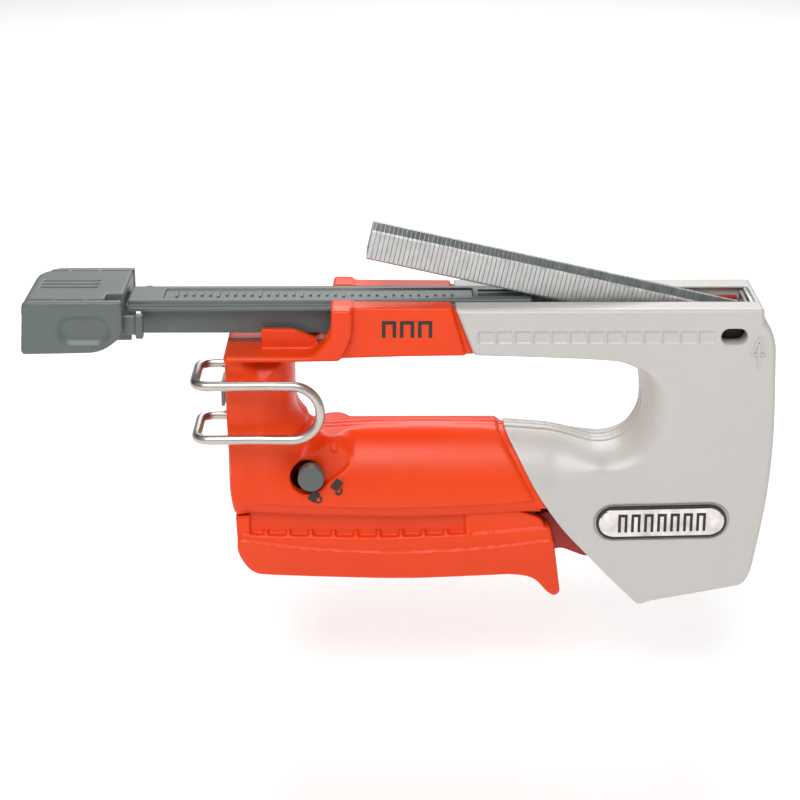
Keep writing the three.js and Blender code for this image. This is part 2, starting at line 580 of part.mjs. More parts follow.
addPiece('lever', leverShell(), paint.orange);
addPiece('lever_arm', leverArm(), paint.darkRed);
addPiece('lever_pin', crossPin(pivot, pinRadius, -coverHalf + 2.5, coverHalf - 2.5, 24), paint.steel);
const returnCoil = helix([pivot[0], -3.6, pivot[1]], 'y', 4.3, 7.2, 4, 14);
addPiece('lever_spring', tube(returnCoil, 0.7, 56, 6), paint.steel);

const lockBar = crossPin(lockClosed, 2.4, -lockFloor - gap, lockFloor + gap, 20);
addPiece('lock_bar', lockBar, paint.darkGrey);
for (const [name, s] of [['lock_button_left', -1], ['lock_button_right', 1]]) {
  const ends = [lockFloor + 2 * gap, gripHalf + 2.6];
  const button = across(ends, s, (y0, y1) => crossPin(lockClosed, lockRadius, y0, y1, 24));
  addPiece(name, button, paint.grey);
}

addPiece('magazine_cap', railCap(), paint.grey);
addPiece('magazine_core', railCore(), paint.darkSteel);
const tip = block(railFront - 1.3, railFront, -coreHalf, coreHalf, coreBottom, -2.8);
addPiece('magazine_tip', tip, paint.darkSteel);
addPiece('magazine_knob', knob(), paint.grey);
addPiece('latch_pad_left', latchPad(-1), paint.darkGrey);
addPiece('latch_pad_right', latchPad(1), paint.darkGrey);
addPiece('follower_rod', rodX(-168.2, railFront - 1.6, rodZ, 1.2, 14), paint.steel);
addPiece('follower', follower(), paint.darkGrey);
const followerSpring = helix([-167.4, 0, rodZ], 'x', 2.2, 90.6, 20, 9);
addPiece('follower_spring', tube(followerSpring, 0.35, 180, 4), paint.steel);

addPiece('staple_strip', staples(), paint.steel);
addPiece('belt_hook', beltHook(), paint.chrome);
addPiece('belt_hook_plate', block(bodyRear - 1.2, bodyRear - gap, -4.5, 4.5, -31.2, -24.4), paint.darkSteel);
addPiece('screw_column', screw(screwSpots.column, columnHalf), paint.darkSteel);
addPiece('screw_grip', screw(screwSpots.grip, gripHalf), paint.darkSteel);
addPiece('screw_nose', screw(screwSpots.nose, coverHalf), paint.darkSteel);
addPiece('screw_heel', screw(screwSpots.heel, coverHalf), paint.darkSteel);

export default tool;
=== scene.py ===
import math
import random
import bpy
import numpy as np
from mathutils import Euler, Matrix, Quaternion, Vector


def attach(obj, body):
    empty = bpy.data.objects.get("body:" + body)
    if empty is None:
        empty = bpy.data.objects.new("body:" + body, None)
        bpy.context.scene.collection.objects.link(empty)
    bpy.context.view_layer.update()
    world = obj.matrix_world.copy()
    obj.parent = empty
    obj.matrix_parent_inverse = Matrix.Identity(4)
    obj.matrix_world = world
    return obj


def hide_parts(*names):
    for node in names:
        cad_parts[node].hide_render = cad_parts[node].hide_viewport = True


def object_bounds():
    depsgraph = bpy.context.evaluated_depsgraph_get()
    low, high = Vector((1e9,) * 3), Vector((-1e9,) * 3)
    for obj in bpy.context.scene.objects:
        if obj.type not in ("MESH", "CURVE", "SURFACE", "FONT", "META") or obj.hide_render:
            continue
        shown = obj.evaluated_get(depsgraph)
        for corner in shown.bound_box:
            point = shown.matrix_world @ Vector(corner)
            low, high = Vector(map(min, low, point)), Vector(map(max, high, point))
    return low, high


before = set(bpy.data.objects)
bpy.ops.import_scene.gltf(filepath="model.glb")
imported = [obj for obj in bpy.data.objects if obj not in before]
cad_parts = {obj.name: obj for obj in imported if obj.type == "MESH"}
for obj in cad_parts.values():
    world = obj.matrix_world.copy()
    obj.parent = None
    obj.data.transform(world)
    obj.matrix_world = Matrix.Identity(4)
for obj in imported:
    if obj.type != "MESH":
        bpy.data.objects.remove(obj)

cadLow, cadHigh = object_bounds()
mm = 0.001
noseShift = 0.8  # outlines are drawn from the nose's front edge, this far ahead of the origin
draw = random.Random(7)


# finishes: each is one dictionary, colours are linear
finishes = {
    "orangePlastic": {"light": (0.78, 0.054, 0.003), "dark": (0.73, 0.045, 0.002), "drift": 26,
        "roughness": (0.33, 0.43), "grain": 1500, "bump": 0.04, "specular": 0.3},
    # a darker, redder copy of the orange plastic: painted shade and red bounce light for the inner parts seen
    # in the recesses
    "orangePlasticPaintedShade": {"light": (0.48, 0.022, 0.016), "dark": (0.38, 0.015, 0.012), "drift": 30,
        "roughness": (0.42, 0.55), "grain": 1500, "bump": 0.06},
    "silverPaint": {"light": (0.535, 0.517, 0.492), "dark": (0.505, 0.488, 0.465), "drift": 18,
        "roughness": (0.42, 0.5), "grain": 2600, "bump": 0.035, "metallic": 0.1, "flake": 0.05, "coat": 0.04},
    "greyPlastic": {"light": (0.11, 0.132, 0.13), "dark": (0.098, 0.118, 0.116), "drift": 30,
        "roughness": (0.36, 0.48), "grain": 1400, "bump": 0.08},
    "darkGreyPlastic": {"light": (0.1, 0.116, 0.113), "dark": (0.086, 0.101, 0.099), "drift": 30,
        "roughness": (0.36, 0.5), "grain": 1400, "bump": 0.08},
    "brightSteel": {"light": (0.66, 0.67, 0.68), "dark": (0.56, 0.57, 0.58), "drift": 60,
        "roughness": (0.22, 0.36), "grain": 900, "bump": 0.05, "metallic": 1.0},
    "darkSteel": {"light": (0.2, 0.21, 0.21), "dark": (0.15, 0.16, 0.16), "drift": 50,
        "roughness": (0.3, 0.45), "grain": 900, "bump": 0.06, "metallic": 0.9},
    "stapleSteel": {"light": (0.6, 0.595, 0.58), "dark": (0.47, 0.475, 0.47), "drift": 420,
        "roughness": (0.3, 0.44), "grain": 1200, "bump": 0.04, "metallic": 0.72},
    # painted shade: the staple wires' inner faces, darker and bluer than the same steel outside, standing in
    # for the dark reflection inside the stick
    "stapleInnerPaintedShade": {"light": (0.155, 0.25, 0.28), "dark": (0.1, 0.165, 0.19), "drift": 420,
        "roughness": (0.36, 0.5), "grain": 1200, "bump": 0.04, "metallic": 0.5},
    "nickelWire": {"light": (0.56, 0.53, 0.49), "dark": (0.45, 0.42, 0.385), "drift": 80,
        "roughness": (0.24, 0.38), "grain": 1300, "bump": 0.05, "metallic": 1.0},
    "chromePlate": {"light": (0.8, 0.76, 0.73), "dark": (0.52, 0.48, 0.46), "drift": 260,
        "roughness": (0.06, 0.16), "grain": 420, "bump": 0.12, "metallic": 1.0},
    "blackInk": {"light": (0.02, 0.018, 0.018), "dark": (0.012, 0.011, 0.011), "drift": 90,
        "roughness": (0.45, 0.6), "grain": 1800, "bump": 0.03},
    "blackRubber": {"light": (0.022, 0.022, 0.022), "dark": (0.014, 0.014, 0.014), "drift": 60,
        "roughness": (0.75, 0.9), "grain": 1100, "bump": 0.15},
    "paleFloor": {"light": (0.95, 0.95, 0.95), "dark": (0.94, 0.94, 0.94), "drift": 3,
        "roughness": (0.8, 0.9), "grain": 200, "bump": 0.01, "glow": 0.16},
}


def makeFinish(name):
    look = finishes[name]
    finish = bpy.data.materials.new(name)
    finish.use_nodes = True
    nodes, links = finish.node_tree.nodes, finish.node_tree.links
    shader = nodes["Principled BSDF"]
    place = nodes.new("ShaderNodeTexCoord")

    def noise(scale, detail):
        node = nodes.new("ShaderNodeTexNoise")
        node.inputs["Scale"].default_value = scale
        node.inputs["Detail"].default_value = detail
        links.new(place.outputs["Object"], node.inputs["Vector"])
        return node

    drift = noise(look["drift"], 4)
    tones = nodes.new("ShaderNodeValToRGB")
    tones.color_ramp.elements[0].position, tones.color_ramp.elements[1].position = 0.32, 0.68
    tones.color_ramp.elements[0].color = (*look["dark"], 1)
    tones.color_ramp.elements[1].color = (*look["light"], 1)
    links.new(drift.outputs["Fac"], tones.inputs["Fac"])
    colour = tones.outputs["Color"]
    grain = noise(look["grain"], 2)
    if "flake" in look:  # metal flakes in the paint
        flakes = nodes.new("ShaderNodeTexVoronoi")
        flakes.inputs["Scale"].default_value = look["grain"] * 1.3
        links.new(place.outputs["Object"], flakes.inputs["Vector"])
        level = nodes.new("ShaderNodeMapRange")
        level.inputs["To Min"].default_value = 1 - look["flake"]
        level.inputs["To Max"].default_value = 1 + look["flake"]
        links.new(flakes.outputs["Color"], level.inputs["Value"])
        scaled = nodes.new("ShaderNodeVectorMath")
        scaled.operation = "SCALE"
        links.new(colour, scaled.inputs[0])
        links.new(level.outputs["Result"], scaled.inputs["Scale"])
        colour = scaled.outputs["Vector"]
    links.new(colour, shader.inputs["Base Color"])
    gloss = nodes.new("ShaderNodeMapRange")
    gloss.inputs["From Min"].default_value, gloss.inputs["From Max"].default_value = 0.3, 0.7
    gloss.inputs["To Min"].default_value, gloss.inputs["To Max"].default_value = look["roughness"]
    links.new(drift.outputs["Fac"], gloss.inputs["Value"])
    links.new(gloss.outputs["Result"], shader.inputs["Roughness"])
    relief = nodes.new("ShaderNodeBump")
    relief.inputs["Strength"].default_value = look["bump"]
    relief.inputs["Distance"].default_value = 0.2 * mm
    links.new(grain.outputs["Fac"], relief.inputs["Height"])
    links.new(relief.outputs["Normal"], shader.inputs["Normal"])
    shader.inputs["Metallic"].default_value = look.get("metallic", 0)
    shader.inputs["Specular IOR Level"].default_value = look.get("specular", 0.5)
    shader.inputs["Coat Weight"].default_value = look.get("coat", 0)
    shader.inputs["Coat Roughness"].default_value = 0.25
    shader.inputs["Emission Color"].default_value = (1, 1, 1, 1)
    shader.inputs["Emission Strength"].default_value = look.get("glow", 0)
    return finish


finishMade = {name: makeFinish(name) for name in finishes}
print("finishes made:", len(finishMade))


# camera, lamps and floor
studio = {
    "lens": 91.98,
    "eye": (-0.0979, -0.5396, 0.1705),
    "lookDown": 20.5,  # degrees below the horizon
    "roll": -0.10,
    "skyStrength": 0.33,
    "target": (-0.098, 0, -0.03),
    "floorDrop": 0.037,  # the lever reaches this far down when it is open
    "lamps": {  # where, how wide, how strong
        "key": ((-0.20, -0.60, 0.75), 0.6, 7.0),
        "front": ((-0.45, -0.95, 0.30), 0.7, 0.6),
        "rear": ((-0.05, 0.90, 0.90), 0.9, 11.0),
    },
}


def makeStudio():
    eye = bpy.data.objects.new("camera", bpy.data.cameras.new("camera"))
    bpy.context.scene.collection.objects.link(eye)
    eye.data.lens = studio["lens"]
    eye.data.clip_start = 0.01
    eye.location = studio["eye"]
    eye.rotation_mode = "QUATERNION"
    tilt = Euler((math.radians(90 - studio["lookDown"]), 0, 0)).to_quaternion()
    eye.rotation_quaternion = tilt @ Quaternion((0, 0, 1), math.radians(studio["roll"]))
    bpy.context.scene.camera = eye
    world = bpy.data.worlds.new("studio")
    world.use_nodes = True
    sky = world.node_tree.nodes["Background"]
    sky.inputs["Color"].default_value = (1, 1, 1, 1)
    sky.inputs["Strength"].default_value = studio["skyStrength"]
    bpy.context.scene.world = world
    for name, (place, size, power) in studio["lamps"].items():
        lamp = bpy.data.lights.new(name, "AREA")
        lamp.shape = "DISK"
        lamp.size = size
        lamp.energy = power
        holder = bpy.data.objects.new(name, lamp)
        holder.location = place
        holder.rotation_mode = "QUATERNION"
        holder.rotation_quaternion = (Vector(studio["target"]) - Vector(place)).to_track_quat("-Z", "Y")
        bpy.context.scene.collection.objects.link(holder)
    bpy.ops.mesh.primitive_plane_add(size=6, location=(0, 0, cadLow.z - studio["floorDrop"]))
    floor = bpy.context.object
    floor.name = "floor"
    floor.data.materials.append(finishMade["paleFloor"])
    bpy.context.scene.view_settings.view_transform = "Standard"


makeStudio()
print("studio ready")


# shaping tools: a shape is a field, negative inside, in millimetres
def rounded(points, steps=5):
    # corners with a third number are rounded back that far
    made = []
    count = len(points)
    for i, corner in enumerate(points):
        here = np.array(corner[:2], float)
        reach = corner[2] if len(corner) > 2 else 0
        if reach <= 0:
            made.append(here)
            continue
        back = np.array(points[i - 1][:2], float) - here
        ahead = np.array(points[(i + 1) % count][:2], float) - here
        lengthBack, lengthAhead = np.linalg.norm(back), np.linalg.norm(ahead)
        reach = min(reach, lengthBack * 0.49, lengthAhead * 0.49)
        first, last = here + back / lengthBack * reach, here + ahead / lengthAhead * reach
        for k in range(steps + 1):
            t = k / steps
            made.append((1 - t) ** 2 * first + 2 * t * (1 - t) * here + t * t * last)
    return np.array(made)


def inside(points, u, v):
    # signed distance to a closed outline, negative inside it
    corners = rounded(points)
    u, v = np.broadcast_arrays(np.asarray(u, float), np.asarray(v, float))
    nearest = np.full(u.shape, 1e12)
    within = np.zeros(u.shape, bool)
    for (a, b), (c, d) in zip(corners, np.roll(corners, -1, axis=0)):
        eu, ev = c - a, d - b
        size = eu * eu + ev * ev
        if size < 1e-12:
            continue
        t = np.clip(((u - a) * eu + (v - b) * ev) / size, 0, 1)
        nearest = np.minimum(nearest, (u - a - t * eu) ** 2 + (v - b - t * ev) ** 2)
        if b != d:
            within ^= ((b > v) != (d > v)) & (u < (v - b) / (d - b) * eu + a)
    distance = np.sqrt(nearest)
    return np.where(within, -distance, distance)


def meet(a, b, radius=0.3):
    # what is in both, with the edge between them rounded
    a, b = a + radius, b + radius
    return np.minimum(np.maximum(a, b), 0) + np.hypot(np.maximum(a, 0), np.maximum(b, 0)) - radius


def join(a, b, radius=0.3):
    return -meet(-a, -b, radius)


def cut(a, b, radius=0.3):
    return meet(a, -b, radius)


def slab(value, low, high):
    return np.maximum(low - value, value - high)


def brick(x, y, z, box, radius=0.3):
    (x0, x1), (y0, y1), (z0, z1) = box
    return meet(meet(slab(x, x0, x1), slab(y, y0, y1), radius), slab(z, z0, z1), radius)


def ramp(value, start, end):
    t = np.clip((value - start) / (end - start), 0, 1)
    return t * t * (3 - 2 * t)


def pill(u, v, a, b, radius):
    # distance to a slot from a to b
    eu, ev = b[0] - a[0], b[1] - a[1]
    t = np.clip(((u - a[0]) * eu + (v - a[1]) * ev) / (eu * eu + ev * ev), 0, 1)
    return np.hypot(u - a[0] - t * eu, v - a[1] - t * ev) - radius


corners8 = np.array([(i, j, k) for i in (0, 1) for j in (0, 1) for k in (0, 1)])
edges12 = [(a, b) for a in range(8) for b in range(a + 1, 8) if abs(corners8[a] - corners8[b]).sum() == 1]


def skin(field, low, high, step):
    # the surface where the field is zero, as corner points and four-sided faces
    count = [int(math.ceil((h - l) / step)) + 1 for l, h in zip(low, high)]
    lines = [l + step * np.arange(n) for l, n in zip(low, count)]
    level = field(lines[0][:, None, None], lines[1][None, :, None], lines[2][None, None, :])
    value = np.array(np.broadcast_to(level, count))
    solid = value < 0
    cells = [n - 1 for n in count]
    total = np.zeros(cells, np.int8)
    for i, j, k in corners8:
        total += solid[i:i + cells[0], j:j + cells[1], k:k + cells[2]]
    mixed = (total > 0) & (total < 8)
    number = np.full(cells, -1, np.int64)
    number[mixed] = np.arange(mixed.sum())
    cell = np.argwhere(mixed)
    at = [value[tuple((cell + c).T)] for c in corners8]
    spot, hits = np.zeros((len(cell), 3)), np.zeros(len(cell))
    for a, b in edges12:
        crossed = (at[a] < 0) != (at[b] < 0)
        t = at[a][crossed] / (at[a][crossed] - at[b][crossed])
        spot[crossed] += corners8[a] + t[:, None] * (corners8[b] - corners8[a])
        hits[crossed] += 1
    spot /= hits[:, None]
    for _ in range(3):  # pull each point onto the surface
        level, slope = np.zeros(len(cell)), np.zeros((len(cell), 3))
        for c, v in zip(corners8, at):
            w = np.where(c, spot, 1 - spot)
            sign = np.where(c, 1.0, -1.0)
            level += v * w.prod(1)
            for axis in range(3):
                others = [k for k in range(3) if k != axis]
                slope[:, axis] += v * sign[axis] * w[:, others].prod(1)
        size = np.maximum((slope ** 2).sum(1), 1e-9)
        spot -= np.clip((level / size)[:, None] * slope, -0.5, 0.5)
        spot = np.clip(spot, -0.15, 1.15)
    points = np.array(low) + step * (cell + spot)
    faces = []
    for axis in range(3):
        u, v = (axis + 1) % 3, (axis + 2) % 3
        ahead = np.roll(solid, -1, axis=axis)
        change = solid != ahead
        keep = [slice(1, n - 1) for n in count]
        keep[axis] = slice(0, count[axis] - 1)
        window = np.zeros_like(change)
        window[tuple(keep)] = change[tuple(keep)]
        p = np.argwhere(window)
        eu, ev = np.zeros(3, int), np.zeros(3, int)
        eu[u], ev[v] = 1, 1
        ring = [number[tuple((p - eu * i - ev * j).T)] for i, j in ((1, 1), (0, 1), (0, 0), (1, 0))]
        quad = np.stack(ring, 1)
        outward = solid[tuple(p.T)]
        quad[~outward] = quad[~outward][:, ::-1]
        faces.append(quad)
    return points, np.concatenate(faces)


def addMesh(name, points, faces, finish, body, stands=(), smooth=True):
    # points in millimetres from the nose's front edge
    mesh = bpy.data.meshes.new(name)
    shifted = (np.asarray(points, float) + (noseShift, 0, 0)) * mm
    mesh.from_pydata(shifted.tolist(), [], [tuple(int(i) for i in f) for f in faces])
    mesh.materials.append(finishMade[finish])
    mesh.validate()
    mesh.update()
    mesh.polygons.foreach_set("use_smooth", np.full(len(mesh.polygons), smooth))
    piece = bpy.data.objects.new(name, mesh)
    bpy.context.scene.collection.objects.link(piece)
    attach(piece, body)
    if stands:
        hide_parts(*stands)
    return piece


def mould(name, field, box, step, finish, body, stands=()):
    low, high = zip(*box)
    low, high = [v - 1.5 * step for v in low], [v + 1.5 * step for v in high]  # room round the shape
    points, faces = skin(field, low, high, step)
    addMesh(name, points, faces, finish, body, stands)
    print("moulded", name, len(points), "points")


fine = 0.42  # spacing of the points that the fields are read at
facing = {"near": -1, "far": 1}  # which way along y each side looks
cadSide = {"near": "left", "far": "right"}


# silver nose covers
nose = {
    "half": 14.6, "edge": 1.5, "wall": 2.0,
    "outline": [
        (-83.7, 0, 0.5), (0, 0, 0.8), (0.2, -4.0, 0.4), (2.0, -5.4, 0.8), (3.7, -10.0, 2.5),
        (4.9, -38, 12), (3.9, -57, 8), (0.7, -78, 3), (-1.2, -82.4, 3), (-31.2, -88.2, 1.2),
        (-38.9, -80.5, 4), (-53.0, -65.2, 4), (-59.9, -55.2, 4), (-66.0, -43.8, 3), (-69.9, -37.6, 0.6),
        (-56, -38.7, 4), (-50, -40.6, 3), (-42.6, -42.9, 4), (-35.2, -40.4, 3.5), (-31.2, -33, 4),
        (-31.6, -24, 4), (-33.2, -18.5, 2.5), (-38.0, -16.1, 2.5), (-46, -15.4, 4), (-62, -14.7, 4),
        (-78.2, -14.2, 1.2)],
    "opening": [
        (-120, -14.2), (-78.2, -14.2, 1.2), (-62, -14.7, 4), (-46, -15.4, 4), (-38.0, -16.1, 2.5),
        (-33.2, -18.5, 2.5), (-31.6, -24, 4), (-31.2, -33, 4), (-35.2, -40.4, 3.5), (-42.6, -42.9, 4),
        (-50, -40.6, 3), (-56, -38.7, 4), (-69.9, -37.6), (-120, -37.4)],
    "hollow": [
        (-28.9, -15.4, 1), (-1.6, -15.4, 0.6), (1.9, -22, 2), (2.8, -38, 6), (1.8, -56.5, 6),
        (-1.6, -77.2, 2), (-3.2, -80.2, 1.5), (-31.0, -85.7), (-37.5, -90), (-76, -50), (-74, -39.8),
        (-56.4, -40.9, 3), (-50, -42.9, 3), (-42.6, -45.3, 3), (-33.9, -42.4, 3), (-29.0, -34, 3)],
    "dish": {"at": (-39.5, -32.0), "radius": 16.8, "edge": 1.6, "shoulder": 17.0, "fullness": 2.05,
             "tongueX": (-43.0, -57.0), "tongueZ": (-28, -36)},  # the dish turns into the tongue here
    "ladder": {"first": -77.4, "count": 13, "pitch": 4.99, "width": 4.35, "z": (-9.5, -6.2), "depth": 0.5},
    # the black sheet placed behind the windows is painted shade for the dark inside of the nose
    "window": ((-9.2, -7.8), (-6.6, -7.8), 2.25), "windowDepth": 8.3, "windowShadeSheet": (7.95, 8.25),
    "seamAt": (-52.4, -62.1), "seamFacing": (-0.805, -0.594), "seamEdge": 0.35,  # the slanted edge
    "seamFade": (-2.5, -5), "edgeFade": (13.0, 14.4), "track": (-95, -1.6),
    "backWall": 1.8, "backBelow": -57,  # wall that closes the cover along its outline
    "ridgeGroove": {"depth": 1.3, "side": (2.4, 3.1), "below": -27, "ahead": -72},
    "split": 0.12,  # half the gap between the two covers
    "bridge": ((-1.7, 3), (-1, 3.0), (-4, 1)),  # the near cover crosses the front of the channel here
    "box": {"near": ((-84, 5.1), (-15, 3.2), (-88.4, 0.3)), "far": ((-84, 5.1), (0, 15), (-88.4, 0.3))},
}


channel = {"throat": ((-7.0, 7.0), (-3, 6)), "run": ((-8.4, 8.4), (-13.2, -0.75))}


def channelRoom(x, y, z, start, end):
    # what the rail and its lips run in
    throat = brick(x, y, z, ((start, end), *channel["throat"]), 0.2)
    return join(throat, brick(x, y, z, ((start, end), *channel["run"]), 0.1), 0.05)


def arch(x, z):
    # half width of the cover and its steepness: an arch along the finger side of the hand opening
    away = np.maximum(inside(nose["opening"], x, z), 0)
    dish = nose["dish"]
    within = dish["radius"] - np.hypot(x - dish["at"][0], z - dish["at"][1])
    along = ramp(x, *dish["tongueX"]) * ramp(z, *dish["tongueZ"])
    reach = np.maximum(away + within, dish["edge"]) * (1 - along) + dish["shoulder"] * along
    share = np.clip(1 - away / reach, 0, 1)
    n = dish["fullness"]
    rest = np.maximum(1 - share ** n, 1e-3)
    half = nose["half"] * (1 - share ** n) ** (1 / n)
    steep = nose["half"] / reach * share ** (n - 1) * rest ** (1 / n - 1)
    return half, 1 / np.sqrt(1 + np.minimum(steep, 12) ** 2)


def noseField(sideSign):
    def field(x, y, z):
        side = np.abs(y)
        plan = inside(nose["outline"], x, z)
        half, steep = arch(x, z)
        face = (side - half) * steep
        (seamX, seamZ), (facingX, facingZ) = nose["seamAt"], nose["seamFacing"]
        seam = facingX * (x - seamX) + facingZ * (z - seamZ)
        edge = nose["seamEdge"] + (nose["edge"] - nose["seamEdge"]) * ramp(seam, *nose["seamFade"])
        body = meet(plan, face, 0.2 + (edge - 0.2) * ramp(half, *nose["edgeFade"]))
        away = inside(nose["opening"], x, z)
        ridge = nose["ridgeGroove"]
        reach = np.maximum(z - ridge["below"], ridge["ahead"] - x)
        groove = np.maximum(np.maximum(away - ridge["depth"], slab(side, *ridge["side"])), reach)
        body = cut(body, groove, 0.08)
        room = np.maximum(inside(nose["hollow"], x, z), side - (half - nose["wall"] / steep))
        room = np.maximum(room, np.where(z > nose["backBelow"], plan + nose["backWall"], -50))
        body = cut(body, room, 0.3)
        body = cut(body, channelRoom(x, y, z, *nose["track"]), 0.25)
        body = cut(body, ladderPockets(x, side, z), 0.12)
        window = pill(x, z, *nose["window"])
        body = cut(body, np.maximum(window, nose["windowDepth"] - side), 0.5)
        recess = pill(x, z, *badge["ends"], badge["radius"] + badge["margin"])
        body = cut(body, np.maximum(recess, nose["half"] - badge["sunk"] - side), 0.5)
        if sideSign > 0:
            for spot in screwSpots["nose"], screwSpots["heel"]:
                body = screwSeat(body, x, side, z, spot, nose["half"])
        split = nose["split"] - sideSign * y
        bridge = brick(x, y, z, nose["bridge"], 0.15)
        split = np.minimum(split, bridge) if sideSign < 0 else np.maximum(split, 0.3 - bridge)
        return meet(body, split, 0.15)
    return field


def ladderPockets(x, side, z):
    # the row of shallow pockets along the top
    ladder = nose["ladder"]
    pockets = 50
    for i in range(ladder["count"]):
        start = ladder["first"] + i * ladder["pitch"]
        pocket = meet(slab(x, start, start + ladder["width"]), slab(z, *ladder["z"]), 0.5)
        pockets = np.minimum(pockets, pocket)
    return np.maximum(pockets, nose["half"] - ladder["depth"] - side)


screw = {"boss": 3.9, "head": 3.3, "inner": 3.0, "rim": 0.6, "sunk": 2.7}
screwSpots = {"column": (-137.5, -28.0), "grip": (-76.5, -51.0), "nose": (-24.0, -20.5),
              "heel": (-26.0, -79.0)}


def screwSeat(body, x, side, z, spot, half):
    # boss with a sunk seat for the screw's head
    away = np.hypot(x - spot[0], z - spot[1])
    boss = np.maximum(away - screw["boss"], slab(side, screw["inner"], half - screw["rim"]))
    body = join(body, boss, 0.3)
    return cut(body, np.maximum(away - screw["head"], half - screw["sunk"] - side), 0.3)


def makeNose():
    for side, sign in facing.items():
        mould("nose_cover_" + side, noseField(sign), nose["box"][side], fine * 0.9, "silverPaint",
              "housing", ["nose_cover_" + cadSide[side]])


def makeWindowShadeSheets():
    # a black sheet behind the oval windows, painted shade: it stands in for the dark inside of the nose seen
    # through them
    plate = stadium(nose["window"][0], nose["window"][1], 3.2)
    for side, sign in facing.items():
        sidePlate("window_shade_sheet_" + side, sign, [plate], nose["windowShadeSheet"], "blackInk", 0.1)


# orange handle shells
handle = {
    "outline": [
        (-117.3, 0.4, 0.6), (-84.6, 0.1, 0.4), (-80.6, -13.6, 0.8), (-98, -13.8, 2), (-114, -14.3, 2),
        (-128.1, -14.7, 1.2), (-128.2, -32.2, 5), (-122, -38.3, 4), (-110, -37.4, 4), (-93, -36.9, 4),
        (-82, -37.1, 4), (-71.3, -37.5, 0.6), (-67.3, -43.8, 3), (-61.0, -55.4, 3), (-58.0, -60.2, 1.6),
        (-64.4, -59.9, 1.5), (-76, -60.7, 4), (-92.9, -61.3, 4), (-104, -61.3, 4), (-126.6, -60.7, 4),
        (-144.6, -59.8, 1.2), (-145.4, -54, 3), (-146.2, -42, 4), (-146.5, -31, 4), (-146.5, -13, 1.0),
        (-122.6, -13, 2), (-117.3, -7.2, 4)],
    "hollow": [
        (-142.6, -56, 1), (-142.6, -70), (-50, -70), (-62.0, -40.2), (-82, -39.3, 3), (-93, -39.0, 3),
        (-110, -39.6, 3), (-124.5, -40.8, 3), (-130.5, -37, 3), (-131.0, -30, 3), (-131.0, -16.6, 1),
        (-145.2, -16.6, 1), (-145.0, -33, 3), (-144.4, -44, 3)],
    "wide": [
        (-160, 8), (-111.6, 8), (-111.6, -7.5, 4), (-114.6, -13.4, 2.5), (-119, -20), (-160, -20)],
    "gripFrom": -34, "gripHalf": 15.9, "gripSeat": 15.8,
    "gripTop": -37.0, "gripRound": 19.5, "gripFullness": 2.05,
    "catch": [(-136.8, -14), (-136.8, -7.4, 0.5), (-127.6, -7.5, 1.5), (-121.2, -10.4, 0.6), (-121.2, -14)],
    "wideHalf": 16.3, "wideBottom": -14.5, "wideEdge": 0.9,
    "panelHalf": 13.4, "panelX": (-117, -70), "panelBottom": -16, "panelEdge": 0.8,
    "columnHalf": 15.2, "columnFront": -125, "columnTop": -13.8, "columnWall": 2.2,
    "columnBottom": -44, "columnRear": -125.5,
    "columnEdge": 1.0, "columnArch": 11.0, "columnTurn": (-145, -137),  # square behind, arched in front
    "drop": 3.5, "dropX": (-126, -147),  # the grip's top sinks this far towards the rear
    "crease": {"at": (-103, -57.6), "rise": 2.2, "reach": 43, "step": 0.55, "slope": 0.5},
    "gap": 0.35, "seamStep": 0.5, "seamStepFrom": (2.3, 1.3), "seamStepBelow": -30,  # beside the nose cover
    "strip": {"half": 2.5, "depth": 0.35, "x": (-121, -66), "z": (-44, -34)},  # flat along the grip's top
    "lip": {"reach": (-0.05, 2.2), "lowZ": (-58.5, -38.2), "highZ": (-13.4, -0.8), "highHalf": 12.2},
    "innerHalf": 12.4, "wall": 2.4, "seamWall": 2.0, "ovalBelow": -36, "seamWallAbove": -57,
    "catchSide": (6.3, 8.4), "pocket": ((-123.3, -112.3), (10.0, 14.5), (-9.4, -0.6)),
    "track": (-123.5, -78), "split": 0.12,
    "box": {"near": ((-147.6, -57.6), (-16.5, 0), (-61.5, 0.6)),
            "far": ((-147.6, -57.6), (0, 16.5), (-61.5, 0.6))},
}


def oval(y, z, wall):
    # cross-section of the grip: an arch on top of straight sides
    half, arc = handle["gripHalf"] - wall, handle["gripRound"] - wall
    n = handle["gripFullness"]
    up = np.maximum(z - (handle["gripTop"] - handle["gripRound"]), 0) / arc
    return ((np.abs(y) / half) ** n + up ** n) ** (1 / n) * half - half


def handleShape(x, y, z, plan, cover, drop):
    # upper box, side panel, column and grip joined into one solid
    side = np.abs(y)
    wide = meet(plan, np.maximum(inside(handle["wide"], x, z), handle["wideBottom"] - z), handle["wideEdge"])
    wide = meet(wide, side - handle["wideHalf"], handle["wideEdge"])
    panel = meet(plan, np.maximum(slab(x, *handle["panelX"]), handle["panelBottom"] - z), 0.1)
    panel = meet(panel, side - handle["panelHalf"], handle["panelEdge"])
    corner = handle["columnEdge"] + handle["columnArch"] * ramp(x, *handle["columnTurn"])
    post = meet(np.maximum(plan, x - handle["columnFront"]), side - handle["columnHalf"], corner)
    column = np.maximum(post, z - handle["columnTop"])
    crease = handle["crease"]
    creaseX, creaseZ = crease["at"]
    below = creaseZ + crease["rise"] * ((x - creaseX) / crease["reach"]) ** 2 - z
    tuck = crease["step"] * ramp(below, -0.15, 0.35) + crease["slope"] * np.maximum(below, 0)
    under = (side - handle["gripHalf"] + tuck) * 0.9
    grip = np.maximum(oval(y, z + drop, 0), under)
    grip = meet(np.maximum(plan, z - handle["gripFrom"]), grip, 0.5)
    body = join(wide, panel, 1.2)
    body = join(body, column, 1.4)
    return join(body, grip, 2.2), post


